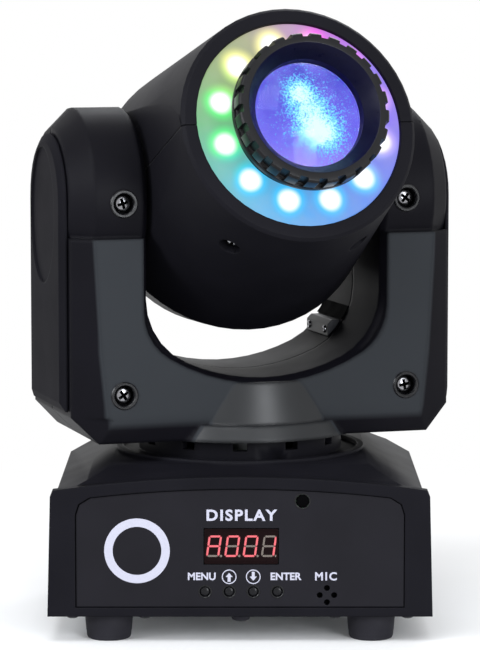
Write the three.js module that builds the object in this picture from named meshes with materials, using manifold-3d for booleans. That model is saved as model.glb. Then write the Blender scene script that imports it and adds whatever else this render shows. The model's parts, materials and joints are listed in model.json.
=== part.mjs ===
// Compact moving head spotlight: a base, a yoke that pans on it and a head that tilts in the yoke.
// Millimetres. +Z is up and -Y is the front.
// The origin is on the pan axis, at the middle of the base's underside.
import * as THREE from "three";
import { mergeVertices } from "three/addons/utils/BufferGeometryUtils.js";
import Module from "manifold-3d";

// Pose at rest
const PAN_DEGREES = 17.4;
const TILT_DEGREES = 20.9;

// Fits shared by every sub-assembly
const GAP = 0.3;
const CUT = 2;
const WELD = 0.0001;
const ROUND_SIDES = 18;
const SMALL_SIDES = 8;
const SCREW_SIDES = 8;

// Base housing
const BASE_HALF_WIDTH = 80;
const BASE_WALL = 2.5;
const ROOF_HEIGHT = 60.5;
const FASCIA_FRONT = 75;
const FASCIA_DEPTH = 5;
const FASCIA_DRAFT = 1.3;
const FASCIA_TOP_HALF_WIDTH = BASE_HALF_WIDTH - FASCIA_DRAFT;
const FASCIA_CROWN_DROP = 2;
const FASCIA_CROWN_HEIGHT = ROOF_HEIGHT - FASCIA_CROWN_DROP;
const FASCIA_SIDE_DROP = 8.2;
const FASCIA_SIDE_HEIGHT = FASCIA_CROWN_HEIGHT - FASCIA_SIDE_DROP;
const FASCIA_EDGE_BEVEL = 1;
const FASCIA_CORNER_DROP = 5.6;
const FASCIA_CORNER_HEIGHT = FASCIA_CROWN_HEIGHT - FASCIA_CORNER_DROP;
const BASE_BACK = 72;
const SIDE_WALL_DROP = 20.1;
const SIDE_WALL_HEIGHT = ROOF_HEIGHT - SIDE_WALL_DROP;
const SHOULDER_INSET = 3.4;
const SHOULDER_HALF_WIDTH = BASE_HALF_WIDTH - SHOULDER_INSET;
const SHOULDER_DROP = 10.1;
const SHOULDER_HEIGHT = ROOF_HEIGHT - SHOULDER_DROP;
const SHOULDER_WIDTH = 13;
const ROOF_EDGE_HALF_WIDTH = SHOULDER_HALF_WIDTH - SHOULDER_WIDTH;
const ROOF_EDGE_DROP = 4.5;
const ROOF_EDGE_HEIGHT = ROOF_HEIGHT - ROOF_EDGE_DROP;
const ROOF_EDGE_WIDTH = 9.6;
const ROOF_HALF_WIDTH = ROOF_EDGE_HALF_WIDTH - ROOF_EDGE_WIDTH;
const FRONT_SLOPE_DROP = 6;
const FRONT_SLOPE_HEIGHT = ROOF_HEIGHT - FRONT_SLOPE_DROP;
const REAR_SLOPE_DROP = 12.5;
const REAR_SLOPE_HEIGHT = ROOF_HEIGHT - REAR_SLOPE_DROP;
const SLOPE_LENGTH = 18;
const REAR_PANEL_HALF_WIDTH = 52;
const REAR_PANEL_MARGIN = 6;
const REAR_CORNER_WIDTH = BASE_HALF_WIDTH - REAR_PANEL_HALF_WIDTH - REAR_PANEL_MARGIN;
const REAR_CORNER_DEPTH = 24;
const RIM_RADIUS = 54;
const RIM_RISE = 1.5;
const RIM_HEIGHT = ROOF_HEIGHT + RIM_RISE;
const RIM_WIDTH = 3;
const NECK_RING_RADIUS = 44;
const NECK_RING_WIDTH = 4;
const NECK_RING_RISE = 6.6;
const NECK_RING_TOP = RIM_HEIGHT + NECK_RING_RISE;
const NECK_NOTCH_COUNT = 12;
const NECK_NOTCH_WIDTH = 6;
const NECK_NOTCH_DEPTH = 4;
const NECK_HOLE_RADIUS = 34;
const VENT_COUNT = 6;
const VENT_LENGTH = 14;
const VENT_WIDTH = 2;
const VENT_PITCH = 4.5;
const VENT_MIDDLE_Y = -30;
const VENT_DROP = 15.5;
const VENT_HEIGHT = ROOF_HEIGHT - VENT_DROP;

// Base plate and feet
const PLATE_THICKNESS = 1.5;
const PLATE_BEAD_RADIUS = 24;
const PLATE_BEAD_WIDTH = 2;
const PLATE_BEAD_DEPTH = 0.6;
const PLATE_BEAD_SIDES = 25;
const FOOT_HEIGHT = 11.6;
const FOOT_TOP_RADIUS = 10.2;
const FOOT_BOTTOM_RADIUS = 9.3;
const FOOT_EDGE = 1.4;
const FOOT_SIDE_INSET = 25;
const FOOT_X = BASE_HALF_WIDTH - FOOT_SIDE_INSET;
const FOOT_FRONT_INSET = 15;
const FOOT_BACK_INSET = 12;
const FRONT_FOOT_Y = FOOT_FRONT_INSET - FASCIA_FRONT;
const REAR_FOOT_Y = BASE_BACK - FOOT_BACK_INSET;
const FOOT_STUD_RADIUS = 3;

// Control panel, display, buttons and sensors
const PANEL_SIDE_INSET = 12;
const PANEL_HALF_WIDTH = BASE_HALF_WIDTH - PANEL_SIDE_INSET;
const PANEL_BOTTOM = 4;
const PANEL_CROWN_DROP = 5.2;
const PANEL_CROWN_HEIGHT = FASCIA_CROWN_HEIGHT - PANEL_CROWN_DROP;
const PANEL_SHOULDER_DROP = 10.8;
const PANEL_SHOULDER_HEIGHT = PANEL_CROWN_HEIGHT - PANEL_SHOULDER_DROP;
const PANEL_CORNER_DROP = 4.4;
const PANEL_CORNER_STEP = 1.4;
const PANEL_CORNER_RADIUS = 6;
const PANEL_THICKNESS = 2.2;
const PANEL_SINK = 0.6;
const PANEL_LEDGE = 1.2;
const CONTROL_X = 0.5;
const DISPLAY_WIDTH = 30.6;
const DISPLAY_HEIGHT = 14.7;
const DISPLAY_DEPTH = 7;
const DISPLAY_Z = 29.4;
const DISPLAY_LIP = 0.5;
const BUTTON_RADIUS = 2.1;
const BUTTON_FLANGE_RADIUS = 3;
const BUTTON_FLANGE_THICKNESS = 0.8;
const BUTTON_PITCH = 10;
const BUTTON_Z = 10.4;
const BUTTON_TRAVEL = 0.4;
const BUTTON_FACE_SINK = 0.2;
const BUTTON_HOLE_RADIUS = 2.4;
const SENSOR_X = 25.9;
const SENSOR_DROP = 4.9;
const SENSOR_Z = PANEL_CROWN_HEIGHT - SENSOR_DROP;
const SENSOR_RADIUS = 2.8;
const MIC_X = 36.1;
const MIC_Z = 8.9;
const MIC_HOLE_RADIUS = 1.3;
const MIC_HOLE_OFFSET = 3;
const MIC_HOLE_COUNT = 4;
const MIC_RADIUS = 3.4;
const BOARD_THICKNESS = 1.6;
const BOARD_SIDE_INSET = 16;
const BOARD_HALF_WIDTH = PANEL_HALF_WIDTH - BOARD_SIDE_INSET;
const BOARD_BOTTOM = 5;
const BOARD_DROP = 2.8;
const BOARD_TOP = PANEL_CROWN_HEIGHT - BOARD_DROP;
const BOARD_POST_RADIUS = 2.5;
const BOARD_POST_MARGIN = 4;
const SWITCH_SIZE = 6;
const SWITCH_HEIGHT = 3.5;
const SENSOR_GAP = 0.6;

// Heights of the pan drive in the base
const PULLEY_DEPTH = 16.5;
const PAN_PULLEY_BOTTOM = ROOF_HEIGHT - PULLEY_DEPTH;
const PULLEY_CLEARANCE = 2;
const BRACKET_TOP = PAN_PULLEY_BOTTOM - PULLEY_CLEARANCE;
const BRACKET_RIGHT_X = 18;

// Power supply in the base
const SUPPLY_SIDE_MARGIN = 8.5;
const SUPPLY_BRACKET_GAP = 5;
const SUPPLY_INNER_X = BRACKET_RIGHT_X + SUPPLY_BRACKET_GAP;
const SUPPLY_X = (BASE_HALF_WIDTH - BASE_WALL - SUPPLY_SIDE_MARGIN + SUPPLY_INNER_X) / 2;
const SUPPLY_FRONT_MARGIN = 37;
const SUPPLY_BACK_MARGIN = 26;
const SUPPLY_Y = (BASE_BACK - SUPPLY_BACK_MARGIN - FASCIA_FRONT + SUPPLY_FRONT_MARGIN) / 2;
const SUPPLY_WIDTH = 2 * (SUPPLY_X - SUPPLY_INNER_X);
const SUPPLY_LENGTH = BASE_BACK - SUPPLY_BACK_MARGIN + FASCIA_FRONT - SUPPLY_FRONT_MARGIN;
const SUPPLY_HEADROOM = 16;
const SUPPLY_HEIGHT = BRACKET_TOP - SUPPLY_HEADROOM;
const SUPPLY_EDGE = 3;

// Rear panel and its connectors
const REAR_PANEL_BOTTOM = 4;
const REAR_PANEL_DROP = 6;
const REAR_PANEL_TOP = REAR_SLOPE_HEIGHT - REAR_PANEL_DROP;
const CONNECTOR_Z = (REAR_PANEL_BOTTOM + REAR_PANEL_TOP) / 2;
const REAR_PANEL_THICKNESS = 2;
const INLET_X = 34;
const INLET_WIDTH = 28;
const INLET_HEIGHT = 21;
const INLET_DEPTH = 18;
const INLET_WALL = 2;
const INLET_FLANGE = 3;
const INLET_PIN_WIDTH = 2;
const INLET_PIN_HEIGHT = 4;
const INLET_PIN_LENGTH = 12;
const INLET_PIN_SPACING = 7;
const DMX_INPUT_X = 0;
const DMX_OUTPUT_X = -34;
const DMX_RADIUS = 11;
const DMX_WALL = 1.6;
const DMX_DEPTH = 17;
const DMX_FLANGE_WIDTH = 26;
const DMX_FLANGE_MARGIN = 7;
const DMX_FLANGE_HEIGHT = REAR_PANEL_TOP - REAR_PANEL_BOTTOM - DMX_FLANGE_MARGIN;
const DMX_PIN_RADIUS = 1.2;
const DMX_PIN_LENGTH = 12;
const DMX_PIN_CIRCLE = 5;
const DMX_CORE_RADIUS = 8;
const DMX_PIN_COUNT = 3;
const CONNECTOR_FLANGE_THICKNESS = 1.6;

// Pan drive
const BRACKET_MARGIN = 5.5;
const BRACKET_LEFT_X = BASE_WALL + BRACKET_MARGIN - BASE_HALF_WIDTH;
const BRACKET_SHEET = 2;
const BRACKET_HALF_WIDTH = 24;
const BRACKET_FOOT = 10;
const SPINDLE_RADIUS = 12;
const SPINDLE_BORE = 7;
const SPINDLE_DROP = 14;
const SPINDLE_BOTTOM = BRACKET_TOP - SPINDLE_DROP;
const SPINDLE_NUT_RADIUS = 16;
const SPINDLE_NUT_HEIGHT = 5;
const PAN_BEARING_RADIUS = 20;
const PAN_BEARING_HEIGHT = 8;
const PAN_PULLEY_RADIUS = 30;
const PULLEY_BELT_WIDTH = 6;
const PULLEY_CHEEK = 1;
const PULLEY_CHEEK_RISE = 1.5;
const PAN_PINION_RADIUS = 7.5;
const PAN_MOTOR_MARGIN = 10;
const PAN_MOTOR_INNER_X = 32.5;
const PAN_MOTOR_SIZE = BASE_HALF_WIDTH - BASE_WALL - PAN_MOTOR_MARGIN - PAN_MOTOR_INNER_X;
const PAN_MOTOR_X = -PAN_MOTOR_INNER_X - PAN_MOTOR_SIZE / 2;
const PAN_MOTOR_FLOOR_ROOM = 12;
const PAN_MOTOR_HEIGHT = BRACKET_TOP - PAN_MOTOR_FLOOR_ROOM;
const MOTOR_SHAFT_RADIUS = 2.5;
const MOTOR_EDGE = 3;
const MOTOR_BOSS_RADIUS = 5;
const BELT_THICKNESS = 1.3;

// Head shells, measured from the tilt axis, with the lens looking along -Y
const OPTIC_RISE = 3.2;
const BEZEL_RADIUS = 50;
const BEZEL_FRONT = 88.4;
const BEZEL_EDGE = 1.4;
const BEZEL_WIDTH = 6.3;
const BEZEL_BORE = BEZEL_RADIUS - BEZEL_WIDTH;
const BEZEL_THICKNESS = 2.4;
const HEAD_FLARE_SHARE = 0.12;
const HEAD_HALF_WIDTH = BEZEL_RADIUS;
const HEAD_RIM_Y = 8;
const HEAD_WALL = 2.2;
const HEAD_SIDES = 56;
const REAR_COVER_BACK = 58;
const REAR_COVER_BEND = 46;
const REAR_BEND_INSET = 3.5;
const REAR_BEND_HALF_WIDTH = HEAD_HALF_WIDTH - REAR_BEND_INSET;
const REAR_BEND_DROP = 1.5;
const REAR_BEND_RADIUS = BEZEL_RADIUS - REAR_BEND_DROP;
const REAR_END_INSET = 13;
const REAR_END_HALF_WIDTH = HEAD_HALF_WIDTH - REAR_END_INSET;
const REAR_END_DROP = 12;
const REAR_END_RADIUS = BEZEL_RADIUS - REAR_END_DROP;
const HEAD_SCREW_RECESS_RADIUS = 4.8;
const HEAD_SCREW_RECESS_DEPTH = 5.5;
const HEAD_SCREW_Y = -64;
const HEAD_SCREW_DEGREES = 32;
const GRILLE_SLOT_COUNT = 7;
const GRILLE_SLOT_WIDTH = 2.6;
const GRILLE_SLOT_PITCH = 5.2;
const GRILLE_SLOT_LENGTH = 34;

// Yoke
const YOKE_HALF_DEPTH = 38.7;
const YOKE_LIFT = 0.8;
const YOKE_BOTTOM = NECK_RING_TOP + YOKE_LIFT;
const YOKE_FLOOR_RISE = 23;
const MOUTH_FLOOR_HEIGHT = YOKE_BOTTOM + YOKE_FLOOR_RISE;
const HEAD_SIDE_CLEARANCE = 4.3;
const MOUTH_HALF_WIDTH = HEAD_HALF_WIDTH + HEAD_SIDE_CLEARANCE;
const YOKE_ARM_WIDTH = 29.7;
const YOKE_HALF_WIDTH = MOUTH_HALF_WIDTH + YOKE_ARM_WIDTH;
const HEAD_SWING_RADIUS = Math.hypot(REAR_COVER_BACK, REAR_END_RADIUS);
const HEAD_FLOOR_CLEARANCE = 8.56;
const TILT_HEIGHT = MOUTH_FLOOR_HEIGHT + HEAD_SWING_RADIUS + HEAD_FLOOR_CLEARANCE;
const YOKE_CHAMFER_DEPTH = 7.2;
const YOKE_FOOT_RECESS = 2.6;
const YOKE_WALL = 2.5;
const YOKE_CORNER_INSET = 11;
const YOKE_CORNER_HALF_WIDTH = YOKE_HALF_WIDTH - YOKE_CORNER_INSET;
const YOKE_CORNER_RISE = 11;
const YOKE_CORNER_HEIGHT = YOKE_BOTTOM + YOKE_CORNER_RISE;
const YOKE_WAIST_RISE = 38.6;
const YOKE_WAIST_HEIGHT = YOKE_BOTTOM + YOKE_WAIST_RISE;
const FACE_TOP_INSET = 9;
const FACE_TOP_HALF_WIDTH = YOKE_HALF_WIDTH - FACE_TOP_INSET;
const FACE_WAIST_INSET = 2.7;
const FACE_WAIST_HALF_WIDTH = FACE_TOP_HALF_WIDTH - FACE_WAIST_INSET;
const FACE_LOW_INSET = 2.9;
const FACE_LOW_HALF_WIDTH = FACE_WAIST_HALF_WIDTH - FACE_LOW_INSET;
const FACE_BOTTOM_INSET = 2;
const FACE_BOTTOM_HALF_WIDTH = FACE_LOW_HALF_WIDTH - FACE_BOTTOM_INSET;
const FACE_BOTTOM_RISE = 10;
const FACE_BOTTOM_HEIGHT = YOKE_BOTTOM + FACE_BOTTOM_RISE;
const FACE_CORNER_RISE = 1.2;
const FACE_LOW_HEIGHT = FACE_BOTTOM_HEIGHT + FACE_CORNER_RISE;
const FACE_TOP_DROP = 14.7;
const FACE_TOP_HEIGHT = TILT_HEIGHT - FACE_TOP_DROP;
const MOUTH_FLOOR_RADIUS = 84;
const MOUTH_CORNER_RADIUS = 22;
const MOUTH_INNER_CORNER_RADIUS = 30;
const MOUTH_BEVEL = 2.4;
const MOUTH_BEVEL_DEPTH = 5;
const DRUM_RADIUS = YOKE_HALF_DEPTH;
const DRUM_SLOPE_WIDTH = 8.7;
const DRUM_OUTER_RADIUS = DRUM_RADIUS - DRUM_SLOPE_WIDTH;
const DRUM_SIDES = 32;
const SKIRT_FLANGE_RADIUS = 50.8;
const SKIRT_FLANGE_TOP_RADIUS = 48;
const SKIRT_FLANGE_RISE = 6.5;
const SKIRT_FLANGE_TOP = YOKE_BOTTOM + SKIRT_FLANGE_RISE;
const SKIRT_GROOVE_RADIUS = 46.1;
const SKIRT_GROOVE_RISE = 2;
const SKIRT_GROOVE_TOP = SKIRT_FLANGE_TOP + SKIRT_GROOVE_RISE;
const SKIRT_TOP_RADIUS = 41.5;
const SKIRT_TOP_RISE = 1.2;
const SKIRT_TOP = MOUTH_FLOOR_HEIGHT + SKIRT_TOP_RISE;
const SKIRT_SIDES = 48;
const YOKE_SCREW_INSET = 8.3;
const YOKE_SCREW_X = MOUTH_HALF_WIDTH + YOKE_SCREW_INSET;
const YOKE_SCREW_RISE = 20.4;
const YOKE_SCREW_LOW_Z = YOKE_BOTTOM + YOKE_SCREW_RISE;
const COUNTERBORE_RADIUS = 5.4;
const COUNTERBORE_DEPTH = 4.2;
const SCREW_BOSS_RADIUS = 7;
const SCREW_RADIUS = 1.5;
const SCREW_HEAD_RADIUS = 3.2;
const SCREW_HEAD_HEIGHT = 2;
const SCREW_LENGTH = 15;
const TRUNNION_HOLE_RADIUS = 9;

// Side covers of the yoke arms
const CHEEK_THICKNESS = 3;
const CHEEK_INSET = 10.7;
const CHEEK_HALF_DEPTH = YOKE_HALF_DEPTH - CHEEK_INSET;
const CHEEK_BEVEL = 3.6;
const CHEEK_RISE = 13.1;
const CHEEK_BOTTOM = YOKE_BOTTOM + CHEEK_RISE;
const BADGE_HALF_DEPTH = 20;
const BADGE_HALF_HEIGHT = 29;
const BADGE_Y = 3;
const BADGE_DROP = 6.8;
const BADGE_Z = TILT_HEIGHT - BADGE_DROP;
const BADGE_SINK = 0.9;
const BADGE_SIDES = 40;

// Access block inside the right arm
const ACCESS_REACH = 13.3;
const ACCESS_X = MOUTH_HALF_WIDTH - ACCESS_REACH;
const ACCESS_FRONT_Y = 2;
const ACCESS_BACK_Y = 31;
const ACCESS_RISE = 7.4;
const ACCESS_BOTTOM = MOUTH_FLOOR_HEIGHT + ACCESS_RISE;
const ACCESS_HEIGHT = 14.5;
const ACCESS_TOP = ACCESS_BOTTOM + ACCESS_HEIGHT;
const ACCESS_EDGE = 2;

// Yoke frame and tilt drive
const FRAME_SHEET = 2;
const FRAME_FLOOR_RISE = 3.6;
const FRAME_FLOOR_Z = YOKE_BOTTOM + FRAME_FLOOR_RISE;
const FRAME_ARM_INSET = 2.7;
const FRAME_ARM_X = MOUTH_HALF_WIDTH + FRAME_ARM_INSET;
const FRAME_FACE_ROOM = 16.7;
const FRAME_HALF_DEPTH = YOKE_HALF_DEPTH - FRAME_FACE_ROOM;
const FRAME_ARM_RISE = 17.7;
const FRAME_ARM_TOP = TILT_HEIGHT + FRAME_ARM_RISE;
const FRAME_TAB_WIDTH = 12;
const FRAME_TAB_HEIGHT = 16;
const TILT_BEARING_RADIUS = 11;
const TILT_BEARING_WIDTH = 6;
const TILT_BEARING_INSET = 1.8;
const TILT_BEARING_X = FRAME_ARM_X - TILT_BEARING_INSET;
const TRUNNION_RADIUS = 6;
const TRUNNION_BORE = 3.5;
const TRUNNION_LEFT_REACH = 9;
const TRUNNION_LEFT_END = FRAME_ARM_X + TRUNNION_LEFT_REACH;
const TRUNNION_RIGHT_ROOM = 3.5;
const TRUNNION_RIGHT_END = YOKE_HALF_WIDTH - TRUNNION_RIGHT_ROOM;
const TILT_PULLEY_RADIUS = 20;
const TILT_PULLEY_ROOM = 12.5;
const TILT_PULLEY_X = YOKE_HALF_WIDTH - TILT_PULLEY_ROOM;
const TILT_PINION_RADIUS = 6.25;
const TILT_MOTOR_RISE = 40;
const TILT_MOTOR_Z = FRAME_FLOOR_Z + TILT_MOTOR_RISE;
const TILT_MOTOR_SIZE = 35;
const TILT_MOTOR_DEPTH = 10.5;

// Light ring
const DIFFUSER_RADIUS = BEZEL_BORE - GAP;
const DIFFUSER_FLANGE_WIDTH = 2.3;
const DIFFUSER_FLANGE_RADIUS = BEZEL_BORE + DIFFUSER_FLANGE_WIDTH;
const DIFFUSER_BORE = 27.2;
const DIFFUSER_FRONT = 87;
const DIFFUSER_THICKNESS = 2;
const DIFFUSER_SKIRT = 1.6;
const RING_BOARD_FRONT = 81;
const RING_BOARD_BORE = 27.2;
const RING_LED_COUNT = 12;
const RING_LED_INSET = 7.9;
const RING_LED_CIRCLE = DIFFUSER_RADIUS - RING_LED_INSET;
const RING_LED_SIZE = 5;
const RING_LED_HEIGHT = 1.6;

// Lens tube, focus ring and objective
const TUBE_BORE = 25;
const TUBE_WALL = 1.6;
const TUBE_FRONT = 87;
const TUBE_CARRIER_THICKNESS = 2;
const TUBE_WIDE_BACK = 46;
const TUBE_NARROW_RADIUS = 11.4;
const TUBE_NARROW_WALL = 1.6;
const FOCUS_FRONT = 109.2;
const FOCUS_KNURL_FRONT = 107;
const FOCUS_KNURL_BACK = 101.6;
const FOCUS_GROOVE_BACK = 100.6;
const FOCUS_BACK = 98;
const FOCUS_NECK_BACK = 88;
const FOCUS_RADIUS = 30.5;
const FOCUS_KNURL_RADIUS = 31.8;
const FOCUS_LIP_RADIUS = 30.2;
const FOCUS_NECK_RADIUS = 26.6;
const FOCUS_MOUTH_RADIUS = 26.5;
const FOCUS_NOTCH_COUNT = 24;
const FOCUS_NOTCH_SHARE = 0.42;
const FOCUS_SEAT_RADIUS = 22.9;
const FOCUS_SEAT_Y = 102;
const FOCUS_SLEEVE_RADIUS = 24.6;
const FOCUS_SLEEVE_BORE = 20.4;
const FOCUS_SLEEVE_BACK = 70;
const LENS_RADIUS = 22.6;
const LENS_FRONT_CROWN = 101;
const LENS_EDGE_FRONT = 96.6;
const LENS_EDGE_BACK = 93.6;
const LENS_RINGS = 6;

// Head frame, wheels, lamp and cooling
const CHASSIS_SHEET = 2;
const CHASSIS_INSET = 8;
const CHASSIS_X = HEAD_HALF_WIDTH - CHASSIS_INSET;
const CHASSIS_WING_HALF_HEIGHT = 8;
const CHASSIS_CORNER_INSET = 9;
const CHASSIS_CORNER_HALF_WIDTH = CHASSIS_X - CHASSIS_CORNER_INSET;
const CHASSIS_PLATE_FRONT = 14;
const CHASSIS_BACK = 42;
const CHASSIS_EAR_HALF_HEIGHT = 13;
const CHASSIS_PLATE_BOTTOM = -34;
const CHASSIS_PLATE_TOP = 42;
const APERTURE_RADIUS = 9;
const WHEEL_OFFSET = 22;
const WHEEL_RADIUS = 28;
const WHEEL_THICKNESS = 1.2;
const WHEEL_HOLE_RADIUS = 4.6;
const WHEEL_HOLE_COUNT = 8;
const WHEEL_HUB_RADIUS = 5;
const WHEEL_SHAFT_RADIUS = 1.5;
const GOBO_WHEEL_FRONT = 9.6;
const COLOUR_WHEEL_FRONT = 5.8;
const WHEEL_MOTOR_RADIUS = 9.6;
const WHEEL_MOTOR_LENGTH = 14;
const WHEEL_MOTOR_BORE_DEPTH = 8;
const LAMP_BACK = 17.6;
const LAMP_PLATE_SIZE = 26;
const LAMP_PLATE_THICKNESS = 3;
const LAMP_CONE_BACK_RADIUS = 6;
const LAMP_CONE_FRONT_RADIUS = 9;
const LAMP_FRONT = 3;
const SINK_FRONT = 18;
const SINK_DEPTH = 25;
const SINK_HALF_WIDTH = CHASSIS_X - GAP;
const SINK_HALF_HEIGHT = 20;
const SINK_PLATE = 4;
const SINK_FIN_COUNT = 13;
const SINK_FIN_THICKNESS = 2.2;
const FAN_INSET = 18;
const FAN_SIZE = 2 * (REAR_END_RADIUS - FAN_INSET);
const FAN_DEPTH = 10;
const FAN_RIM = 1.4;
const FAN_BORE = FAN_SIZE / 2 - FAN_RIM;
const FAN_HUB_RADIUS = 7.5;
const FAN_TIP_GAP = 1;
const FAN_BLADE_RADIUS = FAN_BORE - FAN_TIP_GAP;
const FAN_BLADE_COUNT = 7;
const FAN_BLADE_THICKNESS = 1.2;
const FAN_BLADE_DEGREES = 35;
const FAN_PIN_RADIUS = 1.5;
const FAN_SPOKE_WIDTH = 3;
const FAN_SPOKE_THICKNESS = 1.5;
const FAN_HUB_CLEARANCE = 0.5;

const wasm = await Module();
wasm.setup();

const radians = THREE.MathUtils.degToRad;

// Solids: three.js geometry goes in, manifold-3d joins and cuts it, and geometry comes out.
function solid(geometry) {
  if (geometry instanceof wasm.Manifold) return geometry;
  const bare = geometry.index ? geometry.toNonIndexed() : geometry.clone();
  bare.deleteAttribute("normal");
  bare.deleteAttribute("uv");
  const merged = mergeVertices(bare, WELD);
  const build = (triVerts) =>
    new wasm.Manifold(
      new wasm.Mesh({ numProp: 3, vertProperties: merged.attributes.position.array, triVerts }),
    );
  const made = build(new Uint32Array(merged.index.array));
  if (made.volume() >= 0) return made;
  return build(new Uint32Array(merged.index.array).reverse());
}

function join(...pieces) {
  return pieces.map(solid).reduce((whole, piece) => whole.add(piece));
}

function cut(piece, ...tools) {
  return tools.map(solid).reduce((whole, tool) => whole.subtract(tool), solid(piece));
}

function common(...pieces) {
  return pieces.map(solid).reduce((whole, piece) => whole.intersect(piece));
}

function geometryOf(made) {
  const mesh = made.getMesh();
  const position = new Float32Array(mesh.numVert * 3);
  for (let i = 0; i < mesh.numVert; i++) {
    position.set(mesh.vertProperties.subarray(i * mesh.numProp, i * mesh.numProp + 3), i * 3);
  }
  const geometry = new THREE.BufferGeometry();
  geometry.setAttribute("position", new THREE.BufferAttribute(position, 3));
  geometry.setIndex(new THREE.BufferAttribute(mesh.triVerts, 1));
  return geometry;
}

// Primitive forms
function block(low, high) {
  const size = high.map((value, i) => value - low[i]);
  const geometry = new THREE.BoxGeometry(...size);
  return geometry.translate(...high.map((value, i) => (value + low[i]) / 2));
}

// A straight extrusion of an outline in two of the axes, along the third, from start to end.
function extruded(outline, axis, start, end) {
  const shape = new THREE.Shape(outline.map(([u, v]) => new THREE.Vector2(u, v)));
  const geometry = new THREE.ExtrudeGeometry(shape, { depth: end - start, bevelEnabled: false });
  geometry.translate(0, 0, start);
  if (axis === "x") geometry.applyMatrix4(AXES_TO_X);
  if (axis === "y") geometry.applyMatrix4(AXES_TO_Y);
  return geometry;
}

// The outline's two axes are Y and Z along X, X and Z along Y, and X and Y along Z.
const AXES_TO_X = new THREE.Matrix4().makeBasis(
  new THREE.Vector3(0, 1, 0),
  new THREE.Vector3(0, 0, 1),
  new THREE.Vector3(1, 0, 0),
);
const AXES_TO_Y = new THREE.Matrix4().makeBasis(
  new THREE.Vector3(1, 0, 0),
  new THREE.Vector3(0, 0, 1),
  new THREE.Vector3(0, 1, 0),
);

// A body turned about an axis: profile points are [radius, place along it], the first and last on the axis.
function turned(profile, axis, sides, centre = [0, 0, 0]) {
  const geometry = new THREE.LatheGeometry(
    profile.map(([radius, along]) => new THREE.Vector2(radius, along)),
    sides,
  );
  if (axis === "x") geometry.rotateZ(-Math.PI / 2);
  if (axis === "z") geometry.rotateX(Math.PI / 2);
  return geometry.translate(...centre);
}

function rod(radius, axis, start, end, sides, centre = [0, 0, 0]) {
  return turned([[0, start], [radius, start], [radius, end], [0, end]], axis, sides, centre);
}

function tube(radius, bore, axis, start, end, sides, centre = [0, 0, 0]) {
  const outside = rod(radius, axis, start, end, sides, centre);
  return cut(outside, rod(bore, axis, start - CUT, end + CUT, sides, centre));
}

// A skin over rings of equally many points, closed at both ends by flat caps.
function lofted(rings) {
  const count = rings[0].length;
  const position = rings.flat().flat();
  const faces = [];
  const cap = THREE.ShapeUtils.triangulateShape(
    rings[0].map(([x, , z]) => new THREE.Vector2(x, z)),
    [],
  );
  const last = (rings.length - 1) * count;
  cap.forEach(([a, b, c]) => faces.push(a, b, c, last + c, last + b, last + a));
  for (let ring = 0; ring + 1 < rings.length; ring++) {
    for (let i = 0; i < count; i++) {
      const a = ring * count + i;
      const b = ring * count + ((i + 1) % count);
      faces.push(b, a, a + count, b, a + count, b + count);
    }
  }
  const geometry = new THREE.BufferGeometry();
  geometry.setAttribute("position", new THREE.Float32BufferAttribute(position, 3));
  geometry.setIndex(faces);
  return geometry;
}

function mirrored(points) {
  return points.map(([u, v]) => [-u, v]).reverse();
}

function arcPoints(centre, radius, from, to, steps) {
  return Array.from({ length: steps + 1 }, (_, i) => {
    const angle = from + ((to - from) * i) / steps;
    return [centre[0] + radius * Math.cos(angle), centre[1] + radius * Math.sin(angle)];
  });
}

function around(count, place) {
  return Array.from({ length: count }, (_, i) => place((2 * Math.PI * i) / count, i));
}

// Finishes
const FINISHES = {
  housing: { color: 0x1b1b1e, roughness: 0.55, metalness: 0 },
  panel: { color: 0x17171a, roughness: 0.5, metalness: 0 },
  foot: { color: 0x151516, roughness: 0.85, metalness: 0 },
  button: { color: 0x0e0e10, roughness: 0.45, metalness: 0 },
  display: { color: 0x3a0a0c, roughness: 0.25, metalness: 0 },
  board: { color: 0x14401f, roughness: 0.6, metalness: 0 },
  component: { color: 0x1a1a1a, roughness: 0.6, metalness: 0 },
  motor: { color: 0x1c1c1c, roughness: 0.5, metalness: 0.5 },
  screw: { color: 0xc4c4c8, roughness: 0.2, metalness: 1 },
  steel: { color: 0x9a9ca0, roughness: 0.4, metalness: 1 },
  aluminium: { color: 0xb4b6ba, roughness: 0.45, metalness: 1 },
  belt: { color: 0x101010, roughness: 0.9, metalness: 0 },
  diffuser: { color: 0xe8f2f4, roughness: 0.5, metalness: 0 },
  glass: { color: 0x6a5cf0, roughness: 0.05, metalness: 0 },
};

function named(name, finish, made) {
  const material = new THREE.MeshStandardMaterial(FINISHES[finish]);
  const mesh = new THREE.Mesh(geometryOf(solid(made)), material);
  mesh.name = name;
  return mesh;
}

// Base housing
function fasciaArch(crown, halfWidth, inset) {
  const rise = FASCIA_CROWN_HEIGHT - FASCIA_CORNER_HEIGHT;
  const reach = FASCIA_TOP_HALF_WIDTH - FASCIA_EDGE_BEVEL;
  const radius = (reach * reach + rise * rise) / (2 * rise) - inset;
  const half = Math.asin(halfWidth / radius);
  return arcPoints([0, crown - radius], radius, Math.PI / 2 - half, Math.PI / 2 + half, 12);
}

function fasciaOutline() {
  const side = [
    [BASE_HALF_WIDTH, 0],
    [FASCIA_TOP_HALF_WIDTH, FASCIA_SIDE_HEIGHT],
  ];
  const arch = fasciaArch(FASCIA_CROWN_HEIGHT, FASCIA_TOP_HALF_WIDTH - FASCIA_EDGE_BEVEL, 0);
  return [...side, ...arch, ...mirrored(side)];
}

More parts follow.
